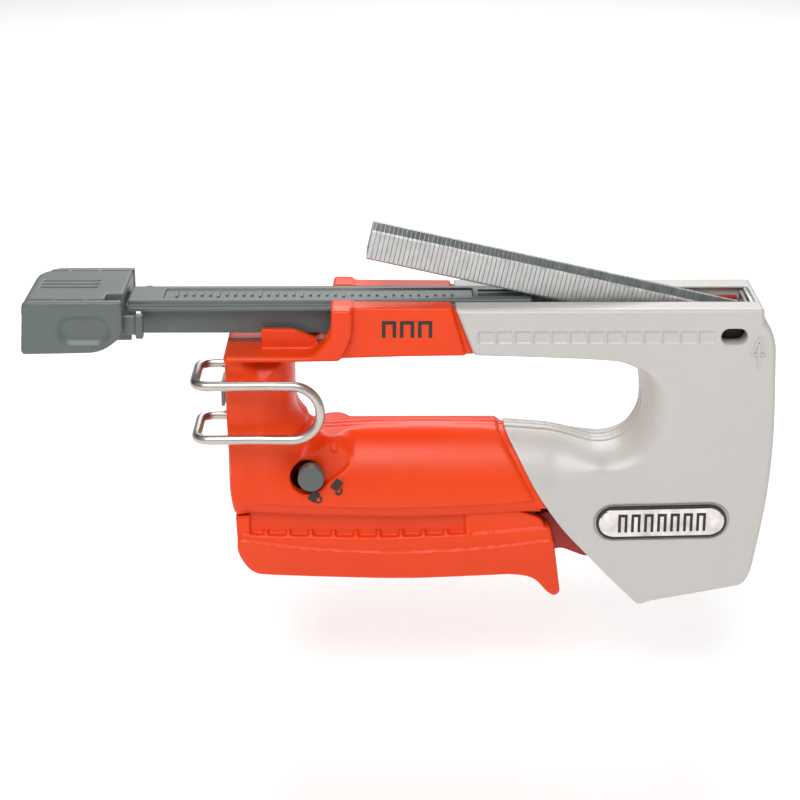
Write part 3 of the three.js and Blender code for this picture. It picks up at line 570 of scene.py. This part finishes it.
def seamLip(y, z, plan, cover, drop):
    # closes the gap to the nose cover below the surface
    lip = handle["lip"]
    near, far = lip["reach"]
    reach = np.maximum(near - cover, cover - far)
    low = np.maximum(np.maximum(slab(z, *lip["lowZ"]), plan - 1.5), oval(y, z + drop, 1.3))
    high = np.maximum(np.maximum(slab(z, *lip["highZ"]), plan - 2.6), np.abs(y) - lip["highHalf"])
    return np.maximum(reach, np.minimum(low, high))


def handleField(sideSign):
    def field(x, y, z):
        side = np.abs(y)
        plan = inside(handle["outline"], x, z)
        cover = inside(nose["outline"], x, z)
        drop = handle["drop"] * ramp(x, *handle["dropX"])
        body, post = handleShape(x, y, z, plan, cover, drop)
        collar = pill(x, z, lock["shut"], lock["open"], lock["collar"])
        collar = collar + lock["collarTaper"][sideSign > 0] * np.maximum(side - lock["collarSide"][1], 0)
        collar = meet(collar, side - lock["collarHalf"], 1.6)
        body = join(body, np.maximum(collar, lock["collarSide"][0] - side), 1.6)
        body = meet(body, handle["gap"] - cover, 0.3)
        sunk = handle["seamStep"] * ramp(cover, *handle["seamStepFrom"])
        body = body + sunk * (z < handle["seamStepBelow"])
        strip = handle["strip"]
        beside = np.maximum(-strip["depth"] - plan, strip["half"] - side)
        beside = np.maximum(beside, np.maximum(slab(x, *strip["x"]), slab(z, *strip["z"])))
        body = cut(body, beside, 0.12)
        body = join(body, seamLip(y, z, plan, cover, drop), 0.1)
        straight = side - handle["innerHalf"]
        inner = np.where(z < handle["ovalBelow"], oval(y, z + drop, handle["wall"]), straight)
        room = np.maximum(inside(handle["hollow"], x, z), np.maximum(inner, straight))
        room = np.maximum(room, np.where(z > handle["seamWallAbove"], handle["seamWall"] - cover, -50))
        behind = (z > handle["columnBottom"]) & (x < handle["columnRear"])
        room = np.maximum(room, np.where(behind, post + handle["columnWall"], -50))
        body = cut(body, room, 0.3)
        body = cut(body, channelRoom(x, y, z, *handle["track"]), 0.25)
        catch = meet(inside(handle["catch"], x, z), slab(side, *handle["catchSide"]), 0.3)
        body = join(body, catch, 0.2)
        body = cut(body, brick(x, side, z, handle["pocket"], 0.3), 0.3)
        slot = pill(x, z, lock["shut"], lock["open"], lock["recess"])
        backing = np.maximum(slot - 1.6, slab(side, lock["floor"] - 1.7, lock["floor"] + 0.3))
        backing = np.maximum(backing, np.minimum(collar + 0.6, oval(y, z + drop, 1.2)))
        body = join(body, backing, 0.3)
        body = cut(body, np.maximum(slot, lock["floor"] - side), 0.7)
        fromNub = np.hypot(x - lock["nub"][0], z - lock["nub"][1])
        nub = np.hypot(fromNub, side - lock["floor"] + 0.4) - lock["nubRadius"]
        body = join(body, nub, 0.4)
        hole = np.hypot(x - lock["hole"][0], z - lock["hole"][1]) - lock["holeRadius"]
        body = cut(body, np.maximum(hole, 9 - side), 0.3)
        for spot in hook["z"]:
            body = cut(body, np.maximum(np.hypot(y, z - spot) - hook["hole"], x - hook["holeFront"]), 0.2)
        if sideSign > 0:
            body = screwSeat(body, x, side, z, screwSpots["column"], handle["columnHalf"])
            body = screwSeat(body, x, side, z, screwSpots["grip"], handle["gripSeat"])
        return meet(body, handle["split"] - sideSign * y, 0.15)
    return field


def makeHandle():
    for side, sign in facing.items():
        mould("handle_shell_" + side, handleField(sign), handle["box"][side], fine, "orangePlastic",
              "housing", ["handle_shell_" + cadSide[side]])


# lock button in its slanted recess
lock = {"shut": (-123.4, -48.1), "open": (-117.3, -43.4), "recess": 4.5, "floor": 12.4, "collar": 5.4,
        "collarHalf": 14.0, "collarTaper": (0.42, 0.8), "collarSide": (5, 9),
        "nub": (-117.0, -40.9), "nubRadius": 1.2,
        "hole": (-124.9, -49.0), "holeRadius": 4.4, "button": 3.65, "buttonSide": (13.6, 18.0),
        "thumbDish": 8.6, "thumbAt": 26.2,
        "box": {"near": ((-127.3, -119.5), (-18.2, -13.4), (-52, -44.2)),
                "far": ((-127.3, -119.5), (13.4, 18.2), (-52, -44.2))}}


def lockField(sign):
    def field(x, y, z):
        side = y * sign
        away = np.hypot(x - lock["shut"][0], z - lock["shut"][1])
        body = meet(away - lock["button"], slab(side, *lock["buttonSide"]), 0.55)
        dish = np.hypot(away, side - lock["thumbAt"]) - lock["thumbDish"]
        return cut(body, dish, 0.4)
    return field


def makeLock():
    for side, sign in facing.items():
        mould("lock_button_" + side, lockField(sign), lock["box"][side], fine * 0.6, "darkGreyPlastic",
              "lock", ["lock_button_" + cadSide[side]])


# lever
lever = {
    "outline": [
        (-143.6, -66.4, 1.0), (-138.4, -67.0, 2), (-104, -67.7, 4), (-92.9, -67.3, 4), (-78.2, -66.6, 4),
        (-56.6, -64.5, 0.6), (-55.1, -70.8, 2), (-52.9, -86.6, 0.9), (-54.5, -88.0, 0.7),
        (-56.7, -86.6, 1.5), (-60.6, -81.2, 4), (-66.5, -79.9, 4), (-92.7, -81.0, 4), (-104.1, -81.0, 4),
        (-127, -80.4, 4), (-140.6, -79.9, 4), (-143.9, -74.6, 2.5), (-144.9, -70.4, 1.5)],
    "top": [
        (-141.4, -70), (-141.8, -55.6, 1.5), (-112, -56.6, 3), (-72, -57.4, 3), (-63.2, -60.6, 2),
        (-59.2, -62.2, 1), (-56.9, -66.6, 0.5), (-57.4, -70)],
    "hollow": [
        (-139.2, -50), (-139.2, -74, 2), (-136, -77.4, 3), (-104, -78.6, 4), (-92.7, -78.6, 4),
        (-68, -77.6, 4), (-60.5, -76.8, 2), (-58.6, -67, 1), (-61.5, -50)],
    "half": 14.6, "draft": 0.26, "hollowHalf": 9.5, "armRoom": ((-63, -50), (-8.3, 8.3), (-76.4, -50)),
    "line": {"low": -71.9, "middle": -100, "curve": 0.00198, "high": -68.4, "step": 0.85},
    "topHalf": 11.6, "topStep": 1.3, "topWider": (-81, -80), "heelHalf": 13.2,
    "ribs": 13, "firstRib": -136.6, "ribPitch": 6.35, "ribHalf": 0.6, "ribZ": (-69, -65.7),
    "ribOut": 13.0, "ribStep": 0.55, "box": ((-145.2, -52), (-14.8, 14.8), (-88.2, -55.4)),
    "heel": [(-145.0, -61.0, 0.5), (-141.0, -61.0), (-141.0, -70), (-144.6, -70.0)],
}


def leverField(x, y, z):
    side = np.abs(y)
    plan = inside(lever["outline"], x, z)
    bow = lever["line"]
    line = np.minimum(bow["low"] + bow["curve"] * (x - bow["middle"]) ** 2, bow["high"])
    step = bow["step"] * ramp(z, line - 0.1, line + 0.25)
    taper = (side - lever["half"] + step + lever["draft"] * np.maximum(line - z, 0)) * 0.93
    skirt = meet(plan, taper, 0.5)
    topHalf = lever["topHalf"] + lever["topStep"] * ramp(x, *lever["topWider"])
    top = meet(inside(lever["top"], x, z), side - topHalf, 0.4)
    heel = meet(inside(lever["heel"], x, z), side - lever["heelHalf"], 0.5)
    body = join(join(skirt, top, 0.5), heel, 0.4)
    for i in range(lever["ribs"]):
        at = lever["firstRib"] + i * lever["ribPitch"]
        out = lever["ribOut"] + lever["ribStep"] * (at > lever["topWider"][0])
        span = (at - lever["ribHalf"], at + lever["ribHalf"])
        body = join(body, brick(x, side, z, (span, (10, out), lever["ribZ"]), 0.3), 0.4)
    body = cut(body, np.maximum(inside(lever["hollow"], x, z), side - lever["hollowHalf"]), 0.3)
    return cut(body, brick(x, y, z, lever["armRoom"], 0.3), 0.3)


def makeLever():
    mould("lever_shell", leverField, lever["box"], fine, "orangePlastic", "lever",
          ["lever"])


# magazine rail, its knob and latch pads
rail = {
    "section": [
        (-6.6, 0.5, 0.5), (-6.6, -1.0), (-7.8, -1.3, 0.3), (-7.8, -2.5, 0.3), (7.8, -2.5, 0.3),
        (7.8, -1.3, 0.3), (6.6, -1.0), (6.6, 0.5, 0.5)],
    "top": 0.5, "x": (-173.2, -62.6), "panel": (-163.5, -78.6), "panelHalf": 4.3, "panelDepth": 0.6,
    "slots": (-77.0, -64.5), "slotY": (-2.0, 2.0), "slotHalf": 0.8,
    "ticks": 34, "firstTick": -160.5, "tickPitch": 2.3, "tickWidth": 0.7, "tickHalf": 1.5, "tickLong": 2.6,
    "tickZ": (-0.15, 0.35), "box": ((-173.4, -62.4), (-8, 8), (-2.7, 0.7)),
}
knob = {
    "plan": [(-201.8, -16.5, 1.0), (-201.8, 7.5, 6), (-196.3, 16.5, 5), (-173.5, 16.5, 0.8),
             (-173.5, -16.5, 0.8)],
    "side": [(-200.4, 3.0, 1.6), (-173.5, 3.0, 0.8), (-173.5, -6.6, 2), (-179.6, -11.6, 4),
             (-201.6, -12.0, 1.5)],
    "room": ((-199.8, -160), (-14.1, 14.1), (-30, -3.0)),  # hollow from below
    "padX": (-198.6, -160), "padSide": 13.0,  # the latch pads sit outside this
    "notch": ((-178.4, -160), (8.4, 30), (-30, 8)),  # in the near front corner
    "filler": ((-186, -172.4), (-6.4, 6.4), (-11.2, -1)),
    "grooves": (-2.4, 0.6, 3.7), "grooveX": (-197.0, -182.4), "grooveRadius": 0.55, "grooveFloor": 1.9,
    "coreRoom": ((-183.5, -160), (-4.9, 4.9), (-30, -2.6)),
    "box": ((-202, -173.3), (-16.7, 16.7), (-12.2, 3.2)),
}
pad = {
    "rear": {"near": -202.5, "far": -198.3}, "front": -173.8, "side": (14.2, 16.5),
    "topSide": (13.85, 16.0), "topZ": (-0.4, 3.0),
    "rearWall": ((-201.8, -200.0), (13.85, 15.5), (-12, 3.0)),
    "thumb": ((-187.2, -5.05), (-180.8, -5.05), 4.5), "thumbDepth": 1.15,
    "armX": (-175.6, -169.4), "armSide": (11.5, 12.9), "armZ": {"near": (-7.5, -2.2), "far": (-7.5, -3.4)},
    "bridge": ((-178.0, -175.0), (12.0, 14.6), (-7.5, -3.4)),
    "tab": ((-170.5, -168.4), (11.5, 14.0), (-8.3, -1.6)),
    "webs": (-192.0, -183.6), "webHalf": 0.6, "webSide": (12.9, 14.1), "webZ": (1.6, 2.85),
    "box": {"near": ((-202, -168.0), (-16.7, -11.4), (-12.2, 3.2)),
            "far": ((-202, -168.0), (11.4, 16.7), (-12.2, 3.2))},
}


def railField(x, y, z):
    body = meet(inside(rail["section"], y, z), slab(x, *rail["x"]), 0.3)
    panel = meet(slab(x, *rail["panel"]), np.abs(y) - rail["panelHalf"], 0.8)
    body = cut(body, np.maximum(panel, rail["top"] - rail["panelDepth"] - z), 0.15)
    for at in rail["slotY"]:
        slot = meet(slab(x, *rail["slots"]), slab(y, at - rail["slotHalf"], at + rail["slotHalf"]), 0.5)
        body = cut(body, slot, 0.15)
    return body


def knobField(x, y, z):
    side = np.abs(y)
    body = meet(inside(knob["plan"], x, y), inside(knob["side"], x, z), 1.1)
    body = cut(body, brick(x, y, z, knob["room"], 0.5), 0.3)
    pads = np.maximum(slab(x, *knob["padX"]), knob["padSide"] - side)
    pads = np.minimum(pads, knob["padSide"] + y)  # the near pad reaches round to the rear
    body = cut(body, pads, 0.3)
    body = cut(body, brick(x, -y, z, knob["notch"], 0.4), 0.4)
    body = join(body, brick(x, y, z, knob["filler"], 0.3), 0.3)
    rear, front = knob["grooveX"]
    for at in knob["grooves"]:
        groove = pill(x, y, (rear, at), (front, at), knob["grooveRadius"])
        body = cut(body, np.maximum(groove, knob["grooveFloor"] - z), 0.25)
    return cut(body, brick(x, y, z, knob["coreRoom"], 0.2), 0.2)


def padField(name):
    def field(x, y, z):
        side = y * facing[name]
        rear = pad["rear"][name]
        profile = inside(knob["side"], x, z)
        body = meet(profile, slab(side, *pad["side"]), 1.0)
        top = np.maximum(slab(z, *pad["topZ"]), slab(side, *pad["topSide"]))
        top = np.maximum(top, slab(x, rear, pad["front"]))
        body = join(body, meet(top, profile, 0.3), 0.4)
        body = meet(body, rear - x, 0.5)
        if name == "far":
            body = meet(body, inside(knob["plan"], x, y), 0.6)
        else:
            rearWall = brick(x, side, z, pad["rearWall"], 0.3)
            body = join(body, meet(rearWall, profile, 1.0), 0.3)
        dent = pad["thumbDepth"] * ramp(pill(x, z, *pad["thumb"]), 0.3, -2.2)
        body = np.maximum(body, (side - pad["side"][1] + dent) * 0.88)
        arm = brick(x, side, z, (pad["armX"], pad["armSide"], pad["armZ"][name]), 0.25)
        bridge = brick(x, side, z, pad["bridge"], 0.25)
        tab = brick(x, side, z, pad["tab"], 0.4)
        body = join(join(body, bridge, 0.3), join(arm, tab, 0.3), 0.3)
        for at in pad["webs"]:
            span = (at - pad["webHalf"], at + pad["webHalf"])
            body = join(body, brick(x, side, z, (span, pad["webSide"], pad["webZ"]), 0.1), 0.1)
        return body
    return field


def makeMagazine():
    small = fine * 0.75
    mould("rail_cap", railField, rail["box"], small, "greyPlastic", "magazine",
          ["magazine_cap"])
    mould("pull_knob", knobField, knob["box"], small, "greyPlastic", "magazine",
          ["magazine_knob"])
    for side in facing:
        mould("latch_pad_" + side, padField(side), pad["box"][side], small, "greyPlastic",
              "latch_" + cadSide[side], ["latch_pad_" + cadSide[side]])
    points, faces = [], []
    for i in range(rail["ticks"]):  # raised length marks on the rail
        x = rail["firstTick"] + i * rail["tickPitch"]
        tall = rail["tickLong"] if i % 5 == 0 else rail["tickHalf"]
        addPlate(points, faces, rectangle(x, x + rail["tickWidth"], -tall, tall), *rail["tickZ"])
    addMesh("rail_marks", points, faces, "greyPlastic", "magazine", smooth=False)
    print("rail marks made:", rail["ticks"])


def rectangle(left, right, low, high):
    return [(left, low), (right, low), (right, high), (left, high)]


def addPlate(points, faces, outline, low, high, inset=0.08):
    # a flat raised plate in x and y, with a small bevel
    outline = np.array(outline, float)
    centre = outline.mean(0)
    shrink = centre + (outline - centre) * (1 - inset / max(np.abs(outline - centre).max(), 0.2))
    start, n = len(points), len(outline)
    points += [(u, v, low) for u, v in outline] + [(u, v, high - inset / 2) for u, v in outline]
    points += [(u, v, high) for u, v in shrink]
    for ring in (0, 1):
        under, over = start + ring * n, start + (ring + 1) * n
        for i in range(n):
            j = (i + 1) % n
            faces.append((under + i, under + j, over + j, over + i))
    faces.append(tuple(start + 2 * n + i for i in range(n)))
    faces.append(tuple(start + n - 1 - i for i in range(n)))


# staple stick: one bent wire after another
staple = {"count": 84, "pitch": 1.242, "width": 1.17, "crown": 10.6, "leg": 8.5, "wire": 0.7, "bend": 0.9,
          "tilt": 12.9, "rearTop": (-106.0, 19.8), "bevel": 0.09, "outerCount": 14, "sway": 0.025}


def staplePath():
    # the wire's side faces seen along the stick: down the outside, then back up the inside
    half, leg, wire, bend = staple["crown"] / 2, staple["leg"], staple["wire"], staple["bend"]
    quarter = np.linspace(0, math.pi / 2, 5)
    path = [(-half, -0.5)]
    path += [(-half + bend - bend * math.cos(a), -leg + bend - bend * math.sin(a)) for a in quarter]
    path += [(half - bend + bend * math.sin(a), -leg + bend - bend * math.cos(a)) for a in quarter]
    path += [(half, -0.5), (half - wire * 0.6, 0.0), (half - wire, -0.35)]
    tight = max(bend - wire, 0.2)
    quarter = np.linspace(math.pi / 2, 0, 4)
    right, left, floor = half - wire - tight, -half + wire + tight, -leg + wire + tight
    path += [(right + tight * math.sin(a), floor - tight * math.cos(a)) for a in quarter]
    path += [(left - tight * math.cos(a), floor - tight * math.sin(a)) for a in quarter]
    path += [(-half + wire, -0.35), (-half + wire * 0.6, 0.0)]
    return np.array(path)


def makeStaples():
    loop = staplePath()
    ahead, back = np.roll(loop, -1, axis=0) - loop, loop - np.roll(loop, 1, axis=0)
    ahead /= np.linalg.norm(ahead, axis=1)[:, None]
    back /= np.linalg.norm(back, axis=1)[:, None]
    normal = np.stack([ahead[:, 1] + back[:, 1], -(ahead[:, 0] + back[:, 0])], 1)
    normal /= np.linalg.norm(normal, axis=1)[:, None]
    bevel, width = staple["bevel"], staple["width"]
    inset = loop - normal * bevel
    n = len(loop)
    tilt = math.radians(staple["tilt"])
    rear, top = staple["rearTop"]
    points, faces = [], []
    for i in range(staple["count"]):
        start = len(points)
        offset = i * staple["pitch"]
        sway = draw.uniform(-staple["sway"], staple["sway"])
        for ring, along in ((inset, 0), (loop, bevel), (loop, width - bevel), (inset, width)):
            for y, z in ring:
                reach, up = offset + along, z + sway
                points.append((rear + reach * math.cos(tilt) + up * math.sin(tilt), y,
                               top - reach * math.sin(tilt) + up * math.cos(tilt)))
        for ring in range(3):
            here, after = start + ring * n, start + (ring + 1) * n
            for k in range(n):
                j = (k + 1) % n
                faces.append((here + k, after + k, after + j, here + j))
        faces.append(tuple(start + k for k in range(n)))
        faces.append(tuple(start + 4 * n - 1 - k for k in range(n)))
    piece = addMesh("staple_stick", points, faces, "stapleSteel", "staples",
                    ["staple_strip"], smooth=False)
    piece.data.materials.append(finishMade["stapleInnerPaintedShade"])
    facesEach = 3 * n + 2
    for i in range(staple["count"]):  # the inner side of each wire gets painted shade: a darker blue-grey that stands in for the dark inside of the stick reflected there
        for ring in range(3):
            for k in range(staple["outerCount"], n - 1):
                piece.data.polygons[i * facesEach + ring * n + k].material_index = 1
    print("staples made:", staple["count"])


# belt hook wire
hook = {"z": (-20.0, -35.6), "reach": 19.4, "x": (-154.7, -128.2), "wire": 1.35, "corner": 4.2,
        "entry": -143.4, "hole": 1.6, "holeFront": -141, "kink": ((6, 0.1), (4.5, 0), (9, 0.12))}


def makeHook():
    rear, front = hook["x"]
    top, bottom = hook["z"]
    reach, bend = -hook["reach"], hook["corner"]
    entry, middle, turn = hook["entry"], (top + bottom) / 2, (top - bottom) / 2
    path = []

    def bendAt(corner, before, after):
        corner, before, after = (np.array(p, float) for p in (corner, before, after))
        for t in np.linspace(0, 1, 9):
            path.append((1 - t) ** 2 * before + 2 * t * (1 - t) * corner + t * t * after)

    (upper, upperRise), (lower, lowerRise), (lowest, lowestRise) = hook["kink"]
    path.append(np.array((entry, 0, top), float))
    bendAt((rear, 0, top), (rear + bend, 0, top), (rear, -bend, top))
    bendAt((rear, reach, top), (rear, reach + bend, top), (rear + bend, reach, top))
    path.append(np.array((front - upper, reach, top + upperRise), float))
    for a in np.linspace(math.pi / 2, -math.pi / 2, 25):
        path.append(np.array((front + turn * math.cos(a), reach, middle + turn * math.sin(a)), float))
    path.append(np.array((front - lower, reach, bottom + lowerRise), float))
    path.append(np.array((front - lowest, reach, bottom + lowestRise), float))
    bendAt((rear, reach, bottom), (rear + bend, reach, bottom), (rear, reach + bend, bottom))
    bendAt((rear, 0, bottom), (rear, -bend, bottom), (rear + bend, 0, bottom))
    path.append(np.array((entry, 0, bottom), float))
    curve = bpy.data.curves.new("belt_hook_wire", "CURVE")
    curve.dimensions = "3D"
    curve.bevel_depth = hook["wire"] * mm
    curve.bevel_resolution = 6
    curve.use_fill_caps = True
    line = curve.splines.new("POLY")
    line.points.add(len(path) - 1)
    for point, place in zip(line.points, path):
        point.co = ((place[0] + noseShift) * mm, place[1] * mm, place[2] * mm, 1)
    line.use_smooth = True
    curve.materials.append(finishMade["nickelWire"])
    piece = bpy.data.objects.new("belt_hook_wire", curve)
    bpy.context.scene.collection.objects.link(piece)
    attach(piece, "housing")
    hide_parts("belt_hook")
    print("belt hook bent from", len(path), "points")


# flat pieces on the sides: badge and marks
def sidePlate(name, sign, outlines, depth, finish, inset, stands=()):
    # flat plates in x and z standing on the side of the tool, each outline a list of points
    points, faces = [], []
    for outline in outlines:
        flat, flatFaces = [], []
        addPlate(flat, flatFaces, outline, *depth, inset)
        start = len(points)
        points += [(u, sign * w, v) for u, v, w in flat]
        faces += [tuple(start + i for i in (f if sign < 0 else f[::-1])) for f in flatFaces]
    addMesh(name, points, faces, finish, "housing", stands, smooth=False)


def stadium(a, b, radius, steps=14):
    angle = math.atan2(b[1] - a[1], b[0] - a[0])
    points = []
    for end, quarter in ((b, -math.pi / 2), (a, math.pi / 2)):
        for i in range(steps + 1):
            turn = angle + quarter + math.pi * i / steps
            points.append((end[0] + radius * math.cos(turn), end[1] + radius * math.sin(turn)))
    return points


def stapleSign(x, low, high, width, stroke):
    # a plain staple: two legs and a crown
    legs = [rectangle(x, x + stroke, low, high - stroke),
            rectangle(x + width - stroke, x + width, low, high - stroke)]
    return legs + [rectangle(x, x + width, high - stroke, high)]


badge = {"ends": ((-38.9, -62.75), (-12.0, -62.15)), "radius": 4.85, "rim": 0.75, "stand": 0.55,
         "margin": 0.55, "sunk": 0.55, "base": 0.5, "middle": (-25.4, -62.45), "slope": 0.022,
         "bars": 7, "firstBar": -37.6, "barPitch": 3.65, "barWidth": 2.6, "barHeight": 5.4, "stroke": 0.78}


def makeBadges():
    base = nose["half"] - badge["base"]
    top = base + badge["stand"]
    rim = stadium(*badge["ends"], badge["radius"])
    plate = stadium(*badge["ends"], badge["radius"] - badge["rim"])
    half = badge["barHeight"] / 2
    marks = []
    for i in range(badge["bars"]):  # a row of little staples
        x = badge["firstBar"] + i * badge["barPitch"]
        z = badge["middle"][1] + (x - badge["middle"][0]) * badge["slope"]
        marks += stapleSign(x, z - half, z + half, badge["barWidth"], badge["stroke"])
    for side, sign in facing.items():
        stands = ["badge_" + cadSide[side]]
        sidePlate("badge_rim_" + side, sign, [rim], (base, top + 0.25), "blackInk", 0.2,
                  stands)
        sidePlate("badge_plate_" + side, sign, [plate], (base + 0.3, top + 0.45), "chromePlate",
                  0.35)
        sidePlate("badge_marks_" + side, sign, marks, (base + 0.8, top + 0.62), "blackInk",
                  0.05)
    print("badges made, with", badge["bars"], "staples each")


marks = {
    "size": {"count": 3, "first": -103.6, "pitch": 4.9, "z": (-8.2, -3.4), "width": 3.9, "stroke": 1.0},
    "lock": {"body": (-1.5, 1.5, -1.8, 0.45), "turn": -125, "side": (15.6, 15.98),
             "shut": (-122.2, -54.4), "open": (-115.8, -50.9)},
    "arrow": [rectangle(-1.45, -0.75, -16.6, -9.6),  # stem, two barbs and their feet
              [(-3.4, -12.6), (-2.8, -12.8), (-1.1, -8.9), (-1.1, -7.6)],
              [(-1.1, -7.6), (-1.1, -8.9), (0.6, -12.8), (1.2, -12.6)],
              rectangle(-2.7, -1.5, -13.0, -12.5), rectangle(-0.7, 0.5, -13.0, -12.5)],
}


def turned(outline, centre):
    a = math.radians(marks["lock"]["turn"])
    return [(centre[0] + u * math.cos(a) - v * math.sin(a), centre[1] + u * math.sin(a) + v * math.cos(a))
            for u, v in outline]


def shackle(shift, gap):
    outer = [(shift + 1.15 * math.cos(a), 1.0 + 0.95 * math.sin(a)) for a in np.linspace(0, math.pi, 9)]
    inner = [(shift + 0.6 * math.cos(a), 1.0 + 0.45 * math.sin(a)) for a in np.linspace(math.pi, 0, 9)]
    foot = [(shift - 1.15, gap), (shift - 0.6, gap)]
    return outer + foot + inner + [(shift + 0.6, 0.3), (shift + 1.15, 0.3)]


def makeMarks():
    size, locks = marks["size"], marks["lock"]
    panel = []
    for i in range(size["count"]):  # staples, the tool's own size mark
        panel += stapleSign(size["first"] + i * size["pitch"], *size["z"], size["width"], size["stroke"])
    body = rectangle(*locks["body"])
    icons = [turned(body, locks["shut"]), turned(shackle(0, 0.3), locks["shut"]),
             turned(body, locks["open"]), turned(shackle(1.3, 1.0), locks["open"])]
    onPanel = (handle["panelHalf"] - 0.1, handle["panelHalf"] + 0.04)
    onNose = (nose["half"] - 0.4, nose["half"] + 0.42)
    for side, sign in facing.items():
        sidePlate("size_mark_" + side, sign, panel, onPanel, "blackInk", 0.02)
        sidePlate("lock_marks_" + side, sign, icons, locks["side"], "blackInk", 0.02)
    for side, sign in facing.items():  # arrow that points to where the staple leaves
        sidePlate("nose_arrow_" + side, sign, marks["arrow"], onNose, "silverPaint", 0.05)
    print("marks made")


makeNose()
makeWindowShadeSheets()
makeHandle()
makeLever()
makeMagazine()
makeStaples()
makeHook()
makeBadges()
makeMarks()
makeLock()

# finishes of the CAD pieces that stay in view
kept = {
    # inner_frame, spring_seat and lever_arm take the orange plastic's painted-shade copy
    "staple_channel": "brightSteel", "inner_frame": "orangePlasticPaintedShade", "nose_guide_plate": "brightSteel",
    "striker_blade": "darkSteel", "hammer": "darkSteel", "bumper": "blackRubber",
    "main_spring": "brightSteel", "spring_seat": "orangePlasticPaintedShade", "lever_arm": "orangePlasticPaintedShade",
    "lever_pin": "brightSteel", "lever_spring": "brightSteel", "lock_bar": "darkGreyPlastic",
    "magazine_core": "darkGreyPlastic", "magazine_tip": "darkSteel", "follower_rod": "brightSteel",
    "follower": "darkGreyPlastic", "follower_spring": "brightSteel", "belt_hook_plate": "darkSteel",
    "screw_column": "darkSteel", "screw_grip": "darkSteel", "screw_nose": "darkSteel",
    "screw_heel": "darkSteel",
}
for node, finish in kept.items():
    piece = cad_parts[node]
    piece.data.materials.clear()
    piece.data.materials.append(finishMade[finish])
print("CAD pieces finished:", len(kept))
